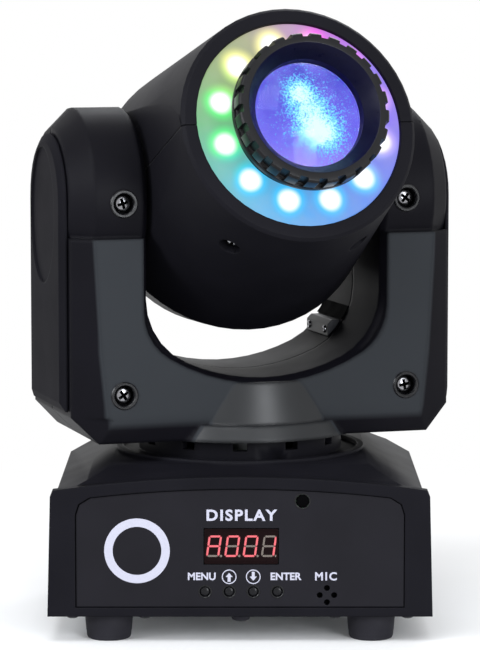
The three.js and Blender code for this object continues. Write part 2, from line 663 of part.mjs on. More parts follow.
function panelOutline(inset) {
  const half = PANEL_HALF_WIDTH - inset;
  const corner = PANEL_CORNER_RADIUS;
  const drop = FASCIA_CROWN_HEIGHT - PANEL_CROWN_HEIGHT;
  const arch = fasciaArch(PANEL_CROWN_HEIGHT - inset, half - corner, drop + inset);
  const side = [
    [half, PANEL_BOTTOM + inset],
    [half, PANEL_SHOULDER_HEIGHT - inset],
    [half - PANEL_CORNER_STEP, PANEL_SHOULDER_HEIGHT + PANEL_CORNER_DROP - inset],
  ];
  return [...side, ...arch, ...mirrored(side)];
}

function housingSolid(inset) {
  const section = [
    [BASE_HALF_WIDTH - inset, 0],
    [FASCIA_TOP_HALF_WIDTH - inset, SIDE_WALL_HEIGHT],
    [SHOULDER_HALF_WIDTH - inset, SHOULDER_HEIGHT - inset],
    [ROOF_EDGE_HALF_WIDTH - inset, ROOF_EDGE_HEIGHT - inset],
    [ROOF_HALF_WIDTH - inset, ROOF_HEIGHT - inset],
  ];
  const front = FASCIA_FRONT - FASCIA_DEPTH;
  const back = BASE_BACK - inset;
  const profile = [
    [-front, -CUT],
    [back, -CUT],
    [back, REAR_SLOPE_HEIGHT - inset],
    [back - SLOPE_LENGTH, ROOF_HEIGHT + GAP - inset],
    [SLOPE_LENGTH - front, ROOF_HEIGHT + GAP - inset],
    [-front, FRONT_SLOPE_HEIGHT - inset],
  ];
  const half = BASE_HALF_WIDTH - inset;
  const plan = [
    [half, -front],
    [half, back - REAR_CORNER_DEPTH],
    [half - REAR_CORNER_WIDTH, back],
  ];
  return common(
    extruded([...section, ...mirrored(section)], "y", -front, back),
    extruded(profile, "x", -half, half),
    extruded([...plan, ...mirrored(plan)], "z", -CUT, ROOF_HEIGHT + CUT),
  );
}

function ventSlots() {
  const slots = [];
  for (const side of [-1, 1]) {
    for (let i = 0; i < VENT_COUNT; i++) {
      const y = VENT_MIDDLE_Y + (i - (VENT_COUNT - 1) / 2) * VENT_PITCH;
      const inner = Math.min(side * ROOF_EDGE_HALF_WIDTH, side * BASE_HALF_WIDTH);
      const outer = Math.max(side * ROOF_EDGE_HALF_WIDTH, side * BASE_HALF_WIDTH);
      slots.push(
        block(
          [inner, y - VENT_WIDTH / 2, VENT_HEIGHT - VENT_LENGTH / 2],
          [outer, y + VENT_WIDTH / 2, VENT_HEIGHT],
        ),
      );
    }
  }
  return slots;
}

function baseHousing() {
  const back = -(FASCIA_FRONT - FASCIA_DEPTH);
  const fascia = extruded(fasciaOutline(), "y", -FASCIA_FRONT, back + GAP);
  const rim = rod(RIM_RADIUS, "z", ROOF_HEIGHT - BASE_WALL, RIM_HEIGHT, SKIRT_SIDES);
  const well = rod(RIM_RADIUS - RIM_WIDTH, "z", ROOF_HEIGHT, RIM_HEIGHT + CUT, SKIRT_SIDES);
  const neckRing = tube(
    NECK_RING_RADIUS,
    NECK_RING_RADIUS - NECK_RING_WIDTH,
    "z",
    ROOF_HEIGHT - BASE_WALL,
    NECK_RING_TOP,
    SKIRT_SIDES,
  );
  const notches = around(NECK_NOTCH_COUNT, (angle) =>
    block(
      [NECK_RING_RADIUS - NECK_RING_WIDTH - CUT, -NECK_NOTCH_WIDTH / 2, NECK_RING_TOP - NECK_NOTCH_DEPTH],
      [NECK_RING_RADIUS + CUT, NECK_NOTCH_WIDTH / 2, NECK_RING_TOP + CUT],
    ).rotateZ(angle),
  );
  const shell = cut(join(housingSolid(0), fascia, rim), well);
  const sunk = -FASCIA_FRONT + PANEL_SINK + PANEL_THICKNESS + GAP;
  return cut(
    join(shell, cut(neckRing, ...notches)),
    housingSolid(BASE_WALL),
    rod(NECK_HOLE_RADIUS, "z", 0, RIM_HEIGHT + CUT, SKIRT_SIDES),
    extruded(panelOutline(-GAP), "y", -FASCIA_FRONT - CUT, sunk),
    extruded(panelOutline(PANEL_LEDGE), "y", -FASCIA_FRONT, back + CUT),
    rearOpening(),
    ...ventSlots(),
  );
}

function rearOpening() {
  const half = REAR_PANEL_HALF_WIDTH - PANEL_LEDGE;
  const seat = BASE_BACK - REAR_PANEL_THICKNESS / 2;
  return join(
    block(
      [-half, BASE_BACK - BASE_WALL - CUT, REAR_PANEL_BOTTOM + PANEL_LEDGE],
      [half, BASE_BACK + CUT, REAR_PANEL_TOP - PANEL_LEDGE],
    ),
    block(
      [-REAR_PANEL_HALF_WIDTH - GAP, seat, REAR_PANEL_BOTTOM - GAP],
      [REAR_PANEL_HALF_WIDTH + GAP, BASE_BACK + CUT, REAR_PANEL_TOP + GAP],
    ),
  );
}

// Base plate and feet
function basePlate() {
  const inset = BASE_WALL + GAP;
  const front = FASCIA_FRONT - FASCIA_DEPTH + BASE_WALL;
  const half = BASE_HALF_WIDTH - inset;
  const back = BASE_BACK - inset;
  const plan = [
    [half, -front],
    [half, back - REAR_CORNER_DEPTH],
    [half - REAR_CORNER_WIDTH, back],
  ];
  const sheet = extruded([...plan, ...mirrored(plan)], "z", 0, PLATE_THICKNESS);
  const holes = footPlaces().map(([, x, y]) =>
    rod(FOOT_STUD_RADIUS + GAP, "z", -CUT, PLATE_THICKNESS + CUT, SMALL_SIDES, [x, y, 0]),
  );
  const bead = tube(
    PLATE_BEAD_RADIUS,
    PLATE_BEAD_RADIUS - PLATE_BEAD_WIDTH,
    "z",
    -CUT,
    PLATE_BEAD_DEPTH,
    PLATE_BEAD_SIDES,
  );
  return cut(common(sheet, plateRoom()), bead, ...holes);
}

// The room inside the housing's walls, down to its lower edge.
function plateRoom() {
  const half = BASE_HALF_WIDTH - BASE_WALL - GAP;
  return block([-half, -FASCIA_FRONT + FASCIA_DEPTH + GAP, 0], [half, BASE_BACK, PLATE_THICKNESS]);
}

function footPlaces() {
  return [
    ["front_left_foot", -FOOT_X, FRONT_FOOT_Y],
    ["front_right_foot", FOOT_X, FRONT_FOOT_Y],
    ["rear_left_foot", -FOOT_X + REAR_CORNER_WIDTH / 2, REAR_FOOT_Y],
    ["rear_right_foot", FOOT_X - REAR_CORNER_WIDTH / 2, REAR_FOOT_Y],
  ];
}

function foot(x, y) {
  const profile = [
    [0, -FOOT_HEIGHT],
    [FOOT_BOTTOM_RADIUS - FOOT_EDGE, -FOOT_HEIGHT],
    [FOOT_BOTTOM_RADIUS, FOOT_EDGE - FOOT_HEIGHT],
    [FOOT_TOP_RADIUS, -GAP],
    [FOOT_STUD_RADIUS, -GAP],
    [FOOT_STUD_RADIUS, PLATE_THICKNESS + GAP],
    [0, PLATE_THICKNESS + GAP],
  ];
  return turned(profile, "z", ROUND_SIDES, [x, y, 0]);
}

// Control panel and what is behind it
const PANEL_FACE_Y = -FASCIA_FRONT + PANEL_SINK;
const PANEL_BACK_Y = PANEL_FACE_Y + PANEL_THICKNESS;
const DISPLAY_FACE_Y = PANEL_FACE_Y + DISPLAY_LIP;
const BOARD_FACE_Y = DISPLAY_FACE_Y + DISPLAY_DEPTH + GAP;

function displayBlock(clearance, front, back) {
  return block(
    [CONTROL_X - DISPLAY_WIDTH / 2 - clearance, front, DISPLAY_Z - DISPLAY_HEIGHT / 2 - clearance],
    [CONTROL_X + DISPLAY_WIDTH / 2 + clearance, back, DISPLAY_Z + DISPLAY_HEIGHT / 2 + clearance],
  );
}

function buttonX(index) {
  return CONTROL_X + (index - 1.5) * BUTTON_PITCH;
}

function micHoles() {
  return around(MIC_HOLE_COUNT, (angle) =>
    rod(MIC_HOLE_RADIUS, "y", PANEL_FACE_Y - CUT, PANEL_BACK_Y + CUT, SCREW_SIDES, [
      MIC_X + MIC_HOLE_OFFSET * Math.cos(angle),
      0,
      MIC_Z + MIC_HOLE_OFFSET * Math.sin(angle),
    ]),
  );
}

function boardPosts() {
  const x = BOARD_HALF_WIDTH - BOARD_POST_MARGIN;
  const heights = [BOARD_BOTTOM + BOARD_POST_MARGIN, BOARD_TOP - BOARD_POST_MARGIN];
  return [-x, x].flatMap((side) =>
    heights.map((z) =>
      rod(BOARD_POST_RADIUS, "y", PANEL_BACK_Y - GAP, BOARD_FACE_Y - GAP, SCREW_SIDES, [side, 0, z]),
    ),
  );
}

function controlPanel() {
  const through = [PANEL_FACE_Y - CUT, PANEL_BACK_Y + CUT];
  const buttonHoles = [0, 1, 2, 3].map((i) =>
    rod(BUTTON_HOLE_RADIUS, "y", ...through, SMALL_SIDES, [buttonX(i), 0, BUTTON_Z]),
  );
  return cut(
    join(extruded(panelOutline(0), "y", PANEL_FACE_Y, PANEL_BACK_Y), ...boardPosts()),
    displayBlock(GAP, ...through),
    rod(SENSOR_RADIUS + GAP, "y", ...through, SMALL_SIDES, [SENSOR_X, 0, SENSOR_Z]),
    ...buttonHoles,
    ...micHoles(),
  );
}

function displayModule() {
  return displayBlock(0, DISPLAY_FACE_Y, DISPLAY_FACE_Y + DISPLAY_DEPTH);
}

function controlBoard() {
  const sheet = block(
    [-BOARD_HALF_WIDTH, BOARD_FACE_Y, BOARD_BOTTOM],
    [BOARD_HALF_WIDTH, BOARD_FACE_Y + BOARD_THICKNESS, BOARD_TOP],
  );
  const half = SWITCH_SIZE / 2;
  const switches = [0, 1, 2, 3].map((i) =>
    block(
      [buttonX(i) - half, BOARD_FACE_Y - SWITCH_HEIGHT, BUTTON_Z - half],
      [buttonX(i) + half, BOARD_FACE_Y + GAP, BUTTON_Z + half],
    ),
  );
  const sensor = rod(SENSOR_RADIUS, "y", PANEL_FACE_Y + SENSOR_GAP, BOARD_FACE_Y + GAP, SMALL_SIDES, [
    SENSOR_X,
    0,
    SENSOR_Z,
  ]);
  const mic = rod(MIC_RADIUS, "y", PANEL_BACK_Y + SENSOR_GAP, BOARD_FACE_Y + GAP, SMALL_SIDES, [
    MIC_X,
    0,
    MIC_Z,
  ]);
  return join(sheet, ...switches, sensor, mic);
}

function button(index) {
  const end = BOARD_FACE_Y - SWITCH_HEIGHT - BUTTON_TRAVEL - GAP / 2;
  const front = PANEL_FACE_Y + BUTTON_FACE_SINK;
  const flange = PANEL_BACK_Y + GAP / 2;
  const profile = [
    [0, front],
    [BUTTON_RADIUS, front],
    [BUTTON_RADIUS, flange],
    [BUTTON_FLANGE_RADIUS, flange],
    [BUTTON_FLANGE_RADIUS, flange + BUTTON_FLANGE_THICKNESS],
    [BUTTON_RADIUS, flange + BUTTON_FLANGE_THICKNESS],
    [BUTTON_RADIUS, end],
    [0, end],
  ];
  return turned(profile, "y", SMALL_SIDES, [buttonX(index), 0, BUTTON_Z]);
}

// Power supply: a board with its covered block, standing on the base plate
function powerSupply() {
  const floor = PLATE_THICKNESS + GAP;
  const halfWidth = SUPPLY_WIDTH / 2;
  const halfLength = SUPPLY_LENGTH / 2;
  const board = block(
    [SUPPLY_X - halfWidth, SUPPLY_Y - halfLength, floor],
    [SUPPLY_X + halfWidth, SUPPLY_Y + halfLength, floor + BOARD_THICKNESS],
  );
  const can = block(
    [SUPPLY_X - halfWidth + SUPPLY_EDGE, SUPPLY_Y - halfLength + SUPPLY_EDGE, floor],
    [SUPPLY_X + halfWidth - SUPPLY_EDGE, SUPPLY_Y + halfLength - SUPPLY_EDGE, SUPPLY_HEIGHT],
  );
  return join(board, can);
}

// Rear panel and connectors
const REAR_PANEL_FACE_Y = BASE_BACK - REAR_PANEL_THICKNESS / 2 + GAP + REAR_PANEL_THICKNESS;
const SOCKET_FACE_Y = REAR_PANEL_FACE_Y + GAP + CONNECTOR_FLANGE_THICKNESS;

function rearPanel() {
  const face = REAR_PANEL_FACE_Y - REAR_PANEL_THICKNESS;
  const inlet = connectorBlock(INLET_X, INLET_WIDTH / 2 + GAP, INLET_HEIGHT / 2 + GAP, face - CUT);
  const sockets = [DMX_INPUT_X, DMX_OUTPUT_X].map((x) =>
    rod(DMX_RADIUS + GAP, "y", face - CUT, REAR_PANEL_FACE_Y + CUT, ROUND_SIDES, [x, 0, CONNECTOR_Z]),
  );
  const sheet = block(
    [-REAR_PANEL_HALF_WIDTH, face, REAR_PANEL_BOTTOM],
    [REAR_PANEL_HALF_WIDTH, REAR_PANEL_FACE_Y, REAR_PANEL_TOP],
  );
  return cut(sheet, inlet, ...sockets);
}

function connectorBlock(x, halfWidth, halfHeight, back) {
  return block(
    [x - halfWidth, back, CONNECTOR_Z - halfHeight],
    [x + halfWidth, SOCKET_FACE_Y + CUT, CONNECTOR_Z + halfHeight],
  );
}

function connectorFlange(x, width, height) {
  return block(
    [x - width / 2, REAR_PANEL_FACE_Y + GAP, CONNECTOR_Z - height / 2],
    [x + width / 2, SOCKET_FACE_Y, CONNECTOR_Z + height / 2],
  );
}

function powerInlet() {
  const back = SOCKET_FACE_Y - INLET_DEPTH;
  const body = block(
    [INLET_X - INLET_WIDTH / 2, back, CONNECTOR_Z - INLET_HEIGHT / 2],
    [INLET_X + INLET_WIDTH / 2, SOCKET_FACE_Y, CONNECTOR_Z + INLET_HEIGHT / 2],
  );
  const flange = connectorFlange(
    INLET_X,
    INLET_WIDTH + 2 * INLET_FLANGE,
    INLET_HEIGHT + 2 * INLET_FLANGE,
  );
  const hollow = connectorBlock(
    INLET_X,
    INLET_WIDTH / 2 - INLET_WALL,
    INLET_HEIGHT / 2 - INLET_WALL,
    back + INLET_WALL,
  );
  const pins = [-1, 0, 1].map((i) =>
    block(
      [INLET_X + i * INLET_PIN_SPACING - INLET_PIN_WIDTH / 2, back, CONNECTOR_Z - INLET_PIN_HEIGHT / 2],
      [
        INLET_X + i * INLET_PIN_SPACING + INLET_PIN_WIDTH / 2,
        back + INLET_PIN_LENGTH,
        CONNECTOR_Z + INLET_PIN_HEIGHT / 2,
      ],
    ),
  );
  return join(cut(join(body, flange), hollow), ...pins);
}

function dmxShell(x) {
  const back = SOCKET_FACE_Y - DMX_DEPTH;
  const body = rod(DMX_RADIUS, "y", back, SOCKET_FACE_Y, ROUND_SIDES, [x, 0, CONNECTOR_Z]);
  const flange = connectorFlange(x, DMX_FLANGE_WIDTH, DMX_FLANGE_HEIGHT);
  const bore = DMX_RADIUS - DMX_WALL;
  const hollow = rod(bore, "y", back + DMX_WALL, SOCKET_FACE_Y + CUT, ROUND_SIDES, [x, 0, CONNECTOR_Z]);
  return cut(join(body, flange), hollow);
}

function dmxPins(x, radius, start, length) {
  return around(DMX_PIN_COUNT, (angle) =>
    rod(radius, "y", start, start + length, SCREW_SIDES, [
      x + DMX_PIN_CIRCLE * Math.cos(angle + Math.PI / 2),
      0,
      CONNECTOR_Z + DMX_PIN_CIRCLE * Math.sin(angle + Math.PI / 2),
    ]),
  );
}

function dmxInput() {
  const back = SOCKET_FACE_Y - DMX_DEPTH;
  return join(dmxShell(DMX_INPUT_X), ...dmxPins(DMX_INPUT_X, DMX_PIN_RADIUS, back, DMX_PIN_LENGTH));
}

function dmxOutput() {
  const back = SOCKET_FACE_Y - DMX_DEPTH;
  const core = rod(DMX_CORE_RADIUS, "y", back, SOCKET_FACE_Y - GAP, ROUND_SIDES, [
    DMX_OUTPUT_X,
    0,
    CONNECTOR_Z,
  ]);
  const holes = dmxPins(DMX_OUTPUT_X, DMX_PIN_RADIUS + GAP, back + DMX_WALL + CUT, DMX_DEPTH);
  return cut(join(dmxShell(DMX_OUTPUT_X), core), ...holes);
}

// Pan drive
function bearingBracket() {
  const low = BRACKET_LEFT_X;
  const high = BRACKET_RIGHT_X;
  const floor = PLATE_THICKNESS + GAP;
  const half = BRACKET_HALF_WIDTH;
  const top = block([low, -half, BRACKET_TOP - BRACKET_SHEET], [high, half, BRACKET_TOP]);
  const legs = [low, high - BRACKET_SHEET].map((x) =>
    block([x, -half, floor], [x + BRACKET_SHEET, half, BRACKET_TOP]),
  );
  const toes = [
    [low, low + BRACKET_FOOT],
    [high - BRACKET_FOOT, high],
  ].map(([from, to]) => block([from, -half, floor], [to, half, floor + BRACKET_SHEET]));
  const cup = rod(
    PAN_BEARING_RADIUS + GAP + BRACKET_SHEET,
    "z",
    BRACKET_TOP - PAN_BEARING_HEIGHT - BRACKET_SHEET,
    BRACKET_TOP,
    ROUND_SIDES,
  );
  const seat = rod(
    PAN_BEARING_RADIUS + GAP,
    "z",
    BRACKET_TOP - PAN_BEARING_HEIGHT,
    BRACKET_TOP + CUT,
    ROUND_SIDES,
  );
  const passage = rod(SPINDLE_NUT_RADIUS + GAP, "z", 0, BRACKET_TOP + CUT, ROUND_SIDES);
  const bossFoot = PLATE_THICKNESS + GAP + CUT;
  const boss = rod(MOTOR_BOSS_RADIUS + GAP, "z", bossFoot, BRACKET_TOP + CUT, SMALL_SIDES, [
    PAN_MOTOR_X,
    0,
    0,
  ]);
  return cut(join(top, ...legs, ...toes, cup), seat, passage, boss);
}

function panBearing() {
  const bottom = BRACKET_TOP - PAN_BEARING_HEIGHT + GAP;
  return tube(PAN_BEARING_RADIUS, SPINDLE_RADIUS + GAP, "z", bottom, BRACKET_TOP, ROUND_SIDES);
}

function motorBody(size, height, edge) {
  const half = size / 2;
  const outline = [
    [half, edge - half],
    [half, half - edge],
    [half - edge, half],
  ];
  return extruded([...outline, ...turnedOutline(outline)], "z", 0, height);
}

// The other three corners of a square outline whose first corner is given.
function turnedOutline(corner) {
  const turns = [1, 2, 3];
  return turns.flatMap((turn) =>
    corner.slice(1).map(([x, y]) => {
      const angle = (turn * Math.PI) / 2;
      return [x * Math.cos(angle) - y * Math.sin(angle), x * Math.sin(angle) + y * Math.cos(angle)];
    }),
  );
}

function panMotor() {
  const top = BRACKET_TOP - BRACKET_SHEET - GAP;
  const body = motorBody(PAN_MOTOR_SIZE, PAN_MOTOR_HEIGHT, MOTOR_EDGE);
  body.translate(PAN_MOTOR_X, 0, top - PAN_MOTOR_HEIGHT);
  const boss = rod(MOTOR_BOSS_RADIUS, "z", top - GAP, BRACKET_TOP, SMALL_SIDES, [PAN_MOTOR_X, 0, 0]);
  const bore = rod(
    MOTOR_SHAFT_RADIUS + GAP,
    "z",
    top - PAN_MOTOR_HEIGHT + MOTOR_EDGE,
    BRACKET_TOP + CUT,
    SMALL_SIDES,
    [PAN_MOTOR_X, 0, 0],
  );
  return cut(join(body, boss), bore);
}

// A belt pulley between two cheeks, with a bore, along the given axis from start.
function pulleyProfile(radius, start) {
  const rise = radius + PULLEY_CHEEK_RISE;
  const belt = start + PULLEY_CHEEK;
  const end = belt + PULLEY_BELT_WIDTH;
  return [
    [0, start],
    [rise, start],
    [rise, belt],
    [radius, belt],
    [radius, end],
    [rise, end],
    [rise, end + PULLEY_CHEEK],
    [0, end + PULLEY_CHEEK],
  ];
}

const PULLEY_WIDTH = PULLEY_BELT_WIDTH + 2 * PULLEY_CHEEK;

function panPulley() {
  const bore = rod(
    SPINDLE_RADIUS + GAP,
    "z",
    PAN_PULLEY_BOTTOM - CUT,
    PAN_PULLEY_BOTTOM + PULLEY_WIDTH + CUT,
    ROUND_SIDES,
  );
  return cut(turned(pulleyProfile(PAN_PULLEY_RADIUS, PAN_PULLEY_BOTTOM), "z", DRUM_SIDES), bore);
}

function panPinion() {
  const pulley = turned(pulleyProfile(PAN_PINION_RADIUS, PAN_PULLEY_BOTTOM), "z", ROUND_SIDES, [
    PAN_MOTOR_X,
    0,
    0,
  ]);
  const low = BRACKET_TOP - BRACKET_SHEET - PAN_MOTOR_HEIGHT + MOTOR_EDGE;
  const shaft = rod(MOTOR_SHAFT_RADIUS, "z", low, PAN_PULLEY_BOTTOM + CUT, SMALL_SIDES, [PAN_MOTOR_X, 0, 0]);
  return join(pulley, shaft);
}

// The outline of a belt round two pulleys on the outline's first axis, at the given distance outside them.
function beltOutline(firstRadius, secondRadius, distance, offset) {
  const lean = Math.asin((firstRadius - secondRadius) / distance);
  const large = arcPoints([0, 0], firstRadius + offset, Math.PI / 2 - lean, 1.5 * Math.PI + lean, 20);
  const small = arcPoints(
    [distance, 0],
    secondRadius + offset,
    -Math.PI / 2 + lean,
    Math.PI / 2 - lean,
    10,
  );
  return [...large, ...small];
}

function belt(firstRadius, secondRadius, distance, start) {
  const outline = (offset) => beltOutline(firstRadius, secondRadius, distance, offset);
  const from = start + PULLEY_CHEEK + GAP;
  const to = start + PULLEY_CHEEK + PULLEY_BELT_WIDTH - GAP;
  return cut(
    extruded(outline(GAP + BELT_THICKNESS), "z", from, to),
    extruded(outline(GAP), "z", from - CUT, to + CUT),
  );
}

function panBelt() {
  const loop = belt(PAN_PULLEY_RADIUS, PAN_PINION_RADIUS, -PAN_MOTOR_X, PAN_PULLEY_BOTTOM);
  return geometryOf(loop).rotateZ(Math.PI);
}

// Yoke covers
function mouthOutline(grow, cornerRadius) {
  const half = MOUTH_HALF_WIDTH + grow;
  const floorRadius = MOUTH_FLOOR_RADIUS + grow;
  const floorCentre = MOUTH_FLOOR_HEIGHT + MOUTH_FLOOR_RADIUS;
  const cornerX = half - cornerRadius;
  const drop = Math.sqrt((floorRadius - cornerRadius) ** 2 - cornerX ** 2);
  const cornerZ = floorCentre - drop;
  const lean = Math.atan2(cornerX, drop);
  const side = arcPoints([cornerX, cornerZ], cornerRadius, 0, lean - Math.PI / 2, 5);
  const floor = arcPoints([0, floorCentre], floorRadius, lean - Math.PI / 2, -lean - Math.PI / 2, 10);
  return [...side, ...floor.slice(1, -1), ...mirrored(side)];
}

// The mouth's outline between the yoke's faces, where its corners are fuller.
function innerMouthOutline(clearance) {
  return mouthOutline(-MOUTH_BEVEL - clearance, MOUTH_INNER_CORNER_RADIUS - clearance);
}

// The yoke's outline in XZ: the outside from the left arm's top to the right arm's, then the mouth.
function yokeOutline(outside, mouth, top) {
  return [
    ...mirrored(outside).reverse(),
    ...[...outside].reverse(),
    [mouth[0][0], top],
    ...mouth,
    [-mouth[0][0], top],
  ];
}

function yokeSections(inset, top) {
  const face = [
    [FACE_TOP_HALF_WIDTH - inset, top],
    [FACE_WAIST_HALF_WIDTH - inset, YOKE_WAIST_HEIGHT],
    [FACE_LOW_HALF_WIDTH - inset, FACE_LOW_HEIGHT + inset],
    [FACE_BOTTOM_HALF_WIDTH - inset, FACE_BOTTOM_HEIGHT + inset / 2],
  ];
  const wall = [
    [YOKE_HALF_WIDTH - inset, top],
    [YOKE_HALF_WIDTH - inset, YOKE_WAIST_HEIGHT],
    [YOKE_HALF_WIDTH - inset, YOKE_CORNER_HEIGHT + inset / 2],
    [YOKE_CORNER_HALF_WIDTH - inset / 2, YOKE_BOTTOM + inset],
  ];
  return { face, wall };
}

function yokePrism(inset, top) {
  const { face, wall } = yokeSections(inset, top);
  const faceDepth = YOKE_HALF_DEPTH - inset;
  const bevelDepth = YOKE_HALF_DEPTH - MOUTH_BEVEL_DEPTH - inset;
  const wallDepth = YOKE_HALF_DEPTH - YOKE_CHAMFER_DEPTH - inset / 2;
  const share = (faceDepth - bevelDepth) / (faceDepth - wallDepth);
  const between = face.map((point, i) =>
    point.map((value, axis) => THREE.MathUtils.lerp(value, wall[i][axis], share)),
  );
  const inner = inset > 0 ? innerMouthOutline(-inset) : innerMouthOutline(0);
  const outer = inset > 0 ? inner : mouthOutline(0, MOUTH_CORNER_RADIUS);
  // Below the faces the walls step back less than at the arms' sides.
  const footDepth = faceDepth - YOKE_FOOT_RECESS;
  const betweenFootDepth = THREE.MathUtils.lerp(faceDepth, footDepth, share);
  const ring = (outside, mouth, way, depth, lowDepth) =>
    yokeOutline(outside, mouth, top).map(([x, z]) => [
      x,
      way * (z < FACE_BOTTOM_HEIGHT ? lowDepth : depth),
      z,
    ]);
  return lofted([
    ring(face, outer, -1, faceDepth, faceDepth),
    ring(between, inner, -1, bevelDepth, betweenFootDepth),
    ring(wall, inner, -1, wallDepth, footDepth),
    ring(wall, inner, 1, wallDepth, footDepth),
    ring(between, inner, 1, bevelDepth, betweenFootDepth),
    ring(face, outer, 1, faceDepth, faceDepth),
  ]);
}

function drum(side, inset) {
  const inner = MOUTH_HALF_WIDTH - MOUTH_BEVEL + inset;
  const bevel = inset > 0 ? inset : MOUTH_BEVEL;
  const outer = YOKE_HALF_WIDTH - inset;
  const profile = [
    [0, inner],
    [DRUM_RADIUS - bevel, inner],
    [DRUM_RADIUS - inset, inner + MOUTH_BEVEL],
    [DRUM_RADIUS - inset, FACE_TOP_HALF_WIDTH - inset / 2],
    [DRUM_OUTER_RADIUS - inset / 2, outer],
    [0, outer],
  ];
  const geometry = turned(profile, "x", DRUM_SIDES);
  if (side < 0) geometry.rotateZ(Math.PI);
  return geometry.translate(0, 0, TILT_HEIGHT);
}

function neckSkirt(inset) {
  const profile = [
    [0, YOKE_BOTTOM - GAP + inset],
    [SKIRT_FLANGE_RADIUS - inset, YOKE_BOTTOM - GAP + inset],
    [SKIRT_FLANGE_TOP_RADIUS - inset, SKIRT_FLANGE_TOP - inset],
    [SKIRT_GROOVE_RADIUS - inset, SKIRT_FLANGE_TOP - inset],
    [SKIRT_GROOVE_RADIUS - inset, SKIRT_GROOVE_TOP],
    [SKIRT_TOP_RADIUS - inset, SKIRT_TOP - inset],
    [0, SKIRT_TOP - inset],
  ];
  return turned(profile, "z", SKIRT_SIDES);
}

// The skirt stands out of the faces only, so the mouth above the yoke's floor stays free of it.
function skirtRoom() {
  const reach = SKIRT_FLANGE_RADIUS + CUT;
  const wide = block([-reach, -reach, YOKE_BOTTOM - CUT], [reach, reach, SKIRT_TOP + CUT]);
  const mouth = mouthOutline(0, MOUTH_CORNER_RADIUS);
  const top = [[-mouth[0][0], TILT_HEIGHT], [mouth[0][0], TILT_HEIGHT]];
  return cut(wide, extruded([...mouth, ...top].reverse(), "y", -YOKE_HALF_DEPTH, YOKE_HALF_DEPTH));
}

const SCREW_PLACES = [
  ["upper_left_yoke_screw", -YOKE_SCREW_X, TILT_HEIGHT],
  ["upper_right_yoke_screw", YOKE_SCREW_X, TILT_HEIGHT],
  ["lower_left_yoke_screw", -YOKE_SCREW_X, YOKE_SCREW_LOW_Z],
  ["lower_right_yoke_screw", YOKE_SCREW_X, YOKE_SCREW_LOW_Z],
];
const SCREW_SEAT_Y = -YOKE_HALF_DEPTH + COUNTERBORE_DEPTH + SCREW_HEAD_HEIGHT;

function yokeShell() {
  const outside = join(
    yokePrism(0, FACE_TOP_HEIGHT),
    drum(-1, 0),
    drum(1, 0),
    common(neckSkirt(0), skirtRoom()),
  );
  const inside = join(
    yokePrism(YOKE_WALL, FACE_TOP_HEIGHT - YOKE_WALL),
    drum(-1, YOKE_WALL),
    drum(1, YOKE_WALL),
    common(neckSkirt(YOKE_WALL), yokeFloorRoom()),
  );
  const trunnionHole = rod(
    TRUNNION_HOLE_RADIUS,
    "x",
    -YOKE_HALF_WIDTH + YOKE_WALL,
    YOKE_HALF_WIDTH - YOKE_WALL,
    ROUND_SIDES,
    [0, 0, TILT_HEIGHT],
  );
  const spindleHole = rod(SPINDLE_NUT_RADIUS, "z", 0, YOKE_BOTTOM + YOKE_WALL + CUT, ROUND_SIDES);
  return cut(outside, inside, trunnionHole, spindleHole);
}

// The hollow of the skirt stays one wall below the yoke's floor.
function yokeFloorRoom() {
  const reach = SKIRT_FLANGE_RADIUS;
  return block([-reach, -reach, YOKE_BOTTOM], [reach, reach, MOUTH_FLOOR_HEIGHT - YOKE_WALL]);
}

function screwBosses(side) {
  const end = FRAME_HALF_DEPTH + FRAME_SHEET + GAP;
  return SCREW_PLACES.map(([, x, z]) =>
    rod(SCREW_BOSS_RADIUS, "y", end, YOKE_HALF_DEPTH - YOKE_WALL / 2, SMALL_SIDES, [x, 0, 0])
      .rotateX(side < 0 ? Math.PI : 0)
      .translate(0, 0, z),
  );
}

function yokeHalf(side) {
  const reach = YOKE_HALF_WIDTH + CUT;
  const top = TILT_HEIGHT + DRUM_RADIUS + CUT;
  const low = [-reach, side < 0 ? -SKIRT_FLANGE_RADIUS - CUT : GAP / 2, 0];
  const high = [reach, side < 0 ? -GAP / 2 : SKIRT_FLANGE_RADIUS + CUT, top];
  return join(common(yokeShell(), block(low, high)), ...screwBosses(side));
}

function yokeFrontCover() {
  const bores = SCREW_PLACES.flatMap(([, x, z]) => [
    rod(COUNTERBORE_RADIUS, "y", -YOKE_HALF_DEPTH - CUT, SCREW_SEAT_Y, SMALL_SIDES, [x, 0, z]),
    rod(SCREW_RADIUS + GAP, "y", SCREW_SEAT_Y - CUT, 0, SCREW_SIDES, [x, 0, z]),
  ]);
  return cut(yokeHalf(-1), ...bores);
}

function yokeRearCover() {
  return yokeHalf(1);
}

function yokeScrew(x, z) {
  const seat = SCREW_SEAT_Y - GAP;
  const profile = [
    [0, seat - SCREW_HEAD_HEIGHT],
    [SCREW_HEAD_RADIUS - SCREW_HEAD_HEIGHT / 2, seat - SCREW_HEAD_HEIGHT],
    [SCREW_HEAD_RADIUS, seat - SCREW_HEAD_HEIGHT / 2],
    [SCREW_HEAD_RADIUS, seat],
    [SCREW_RADIUS, seat],
    [SCREW_RADIUS, seat + SCREW_LENGTH],
    [0, seat + SCREW_LENGTH],
  ];
  return turned(profile, "y", SCREW_SIDES, [x, 0, z]);
}

// Side covers with an oval recess
function cheekOutline(inset) {
  const half = CHEEK_HALF_DEPTH - inset;
  const top = arcPoints([0, TILT_HEIGHT], half, 0, Math.PI, 16);
  return [[half, CHEEK_BOTTOM + inset], ...top, [-half, CHEEK_BOTTOM + inset]];
}

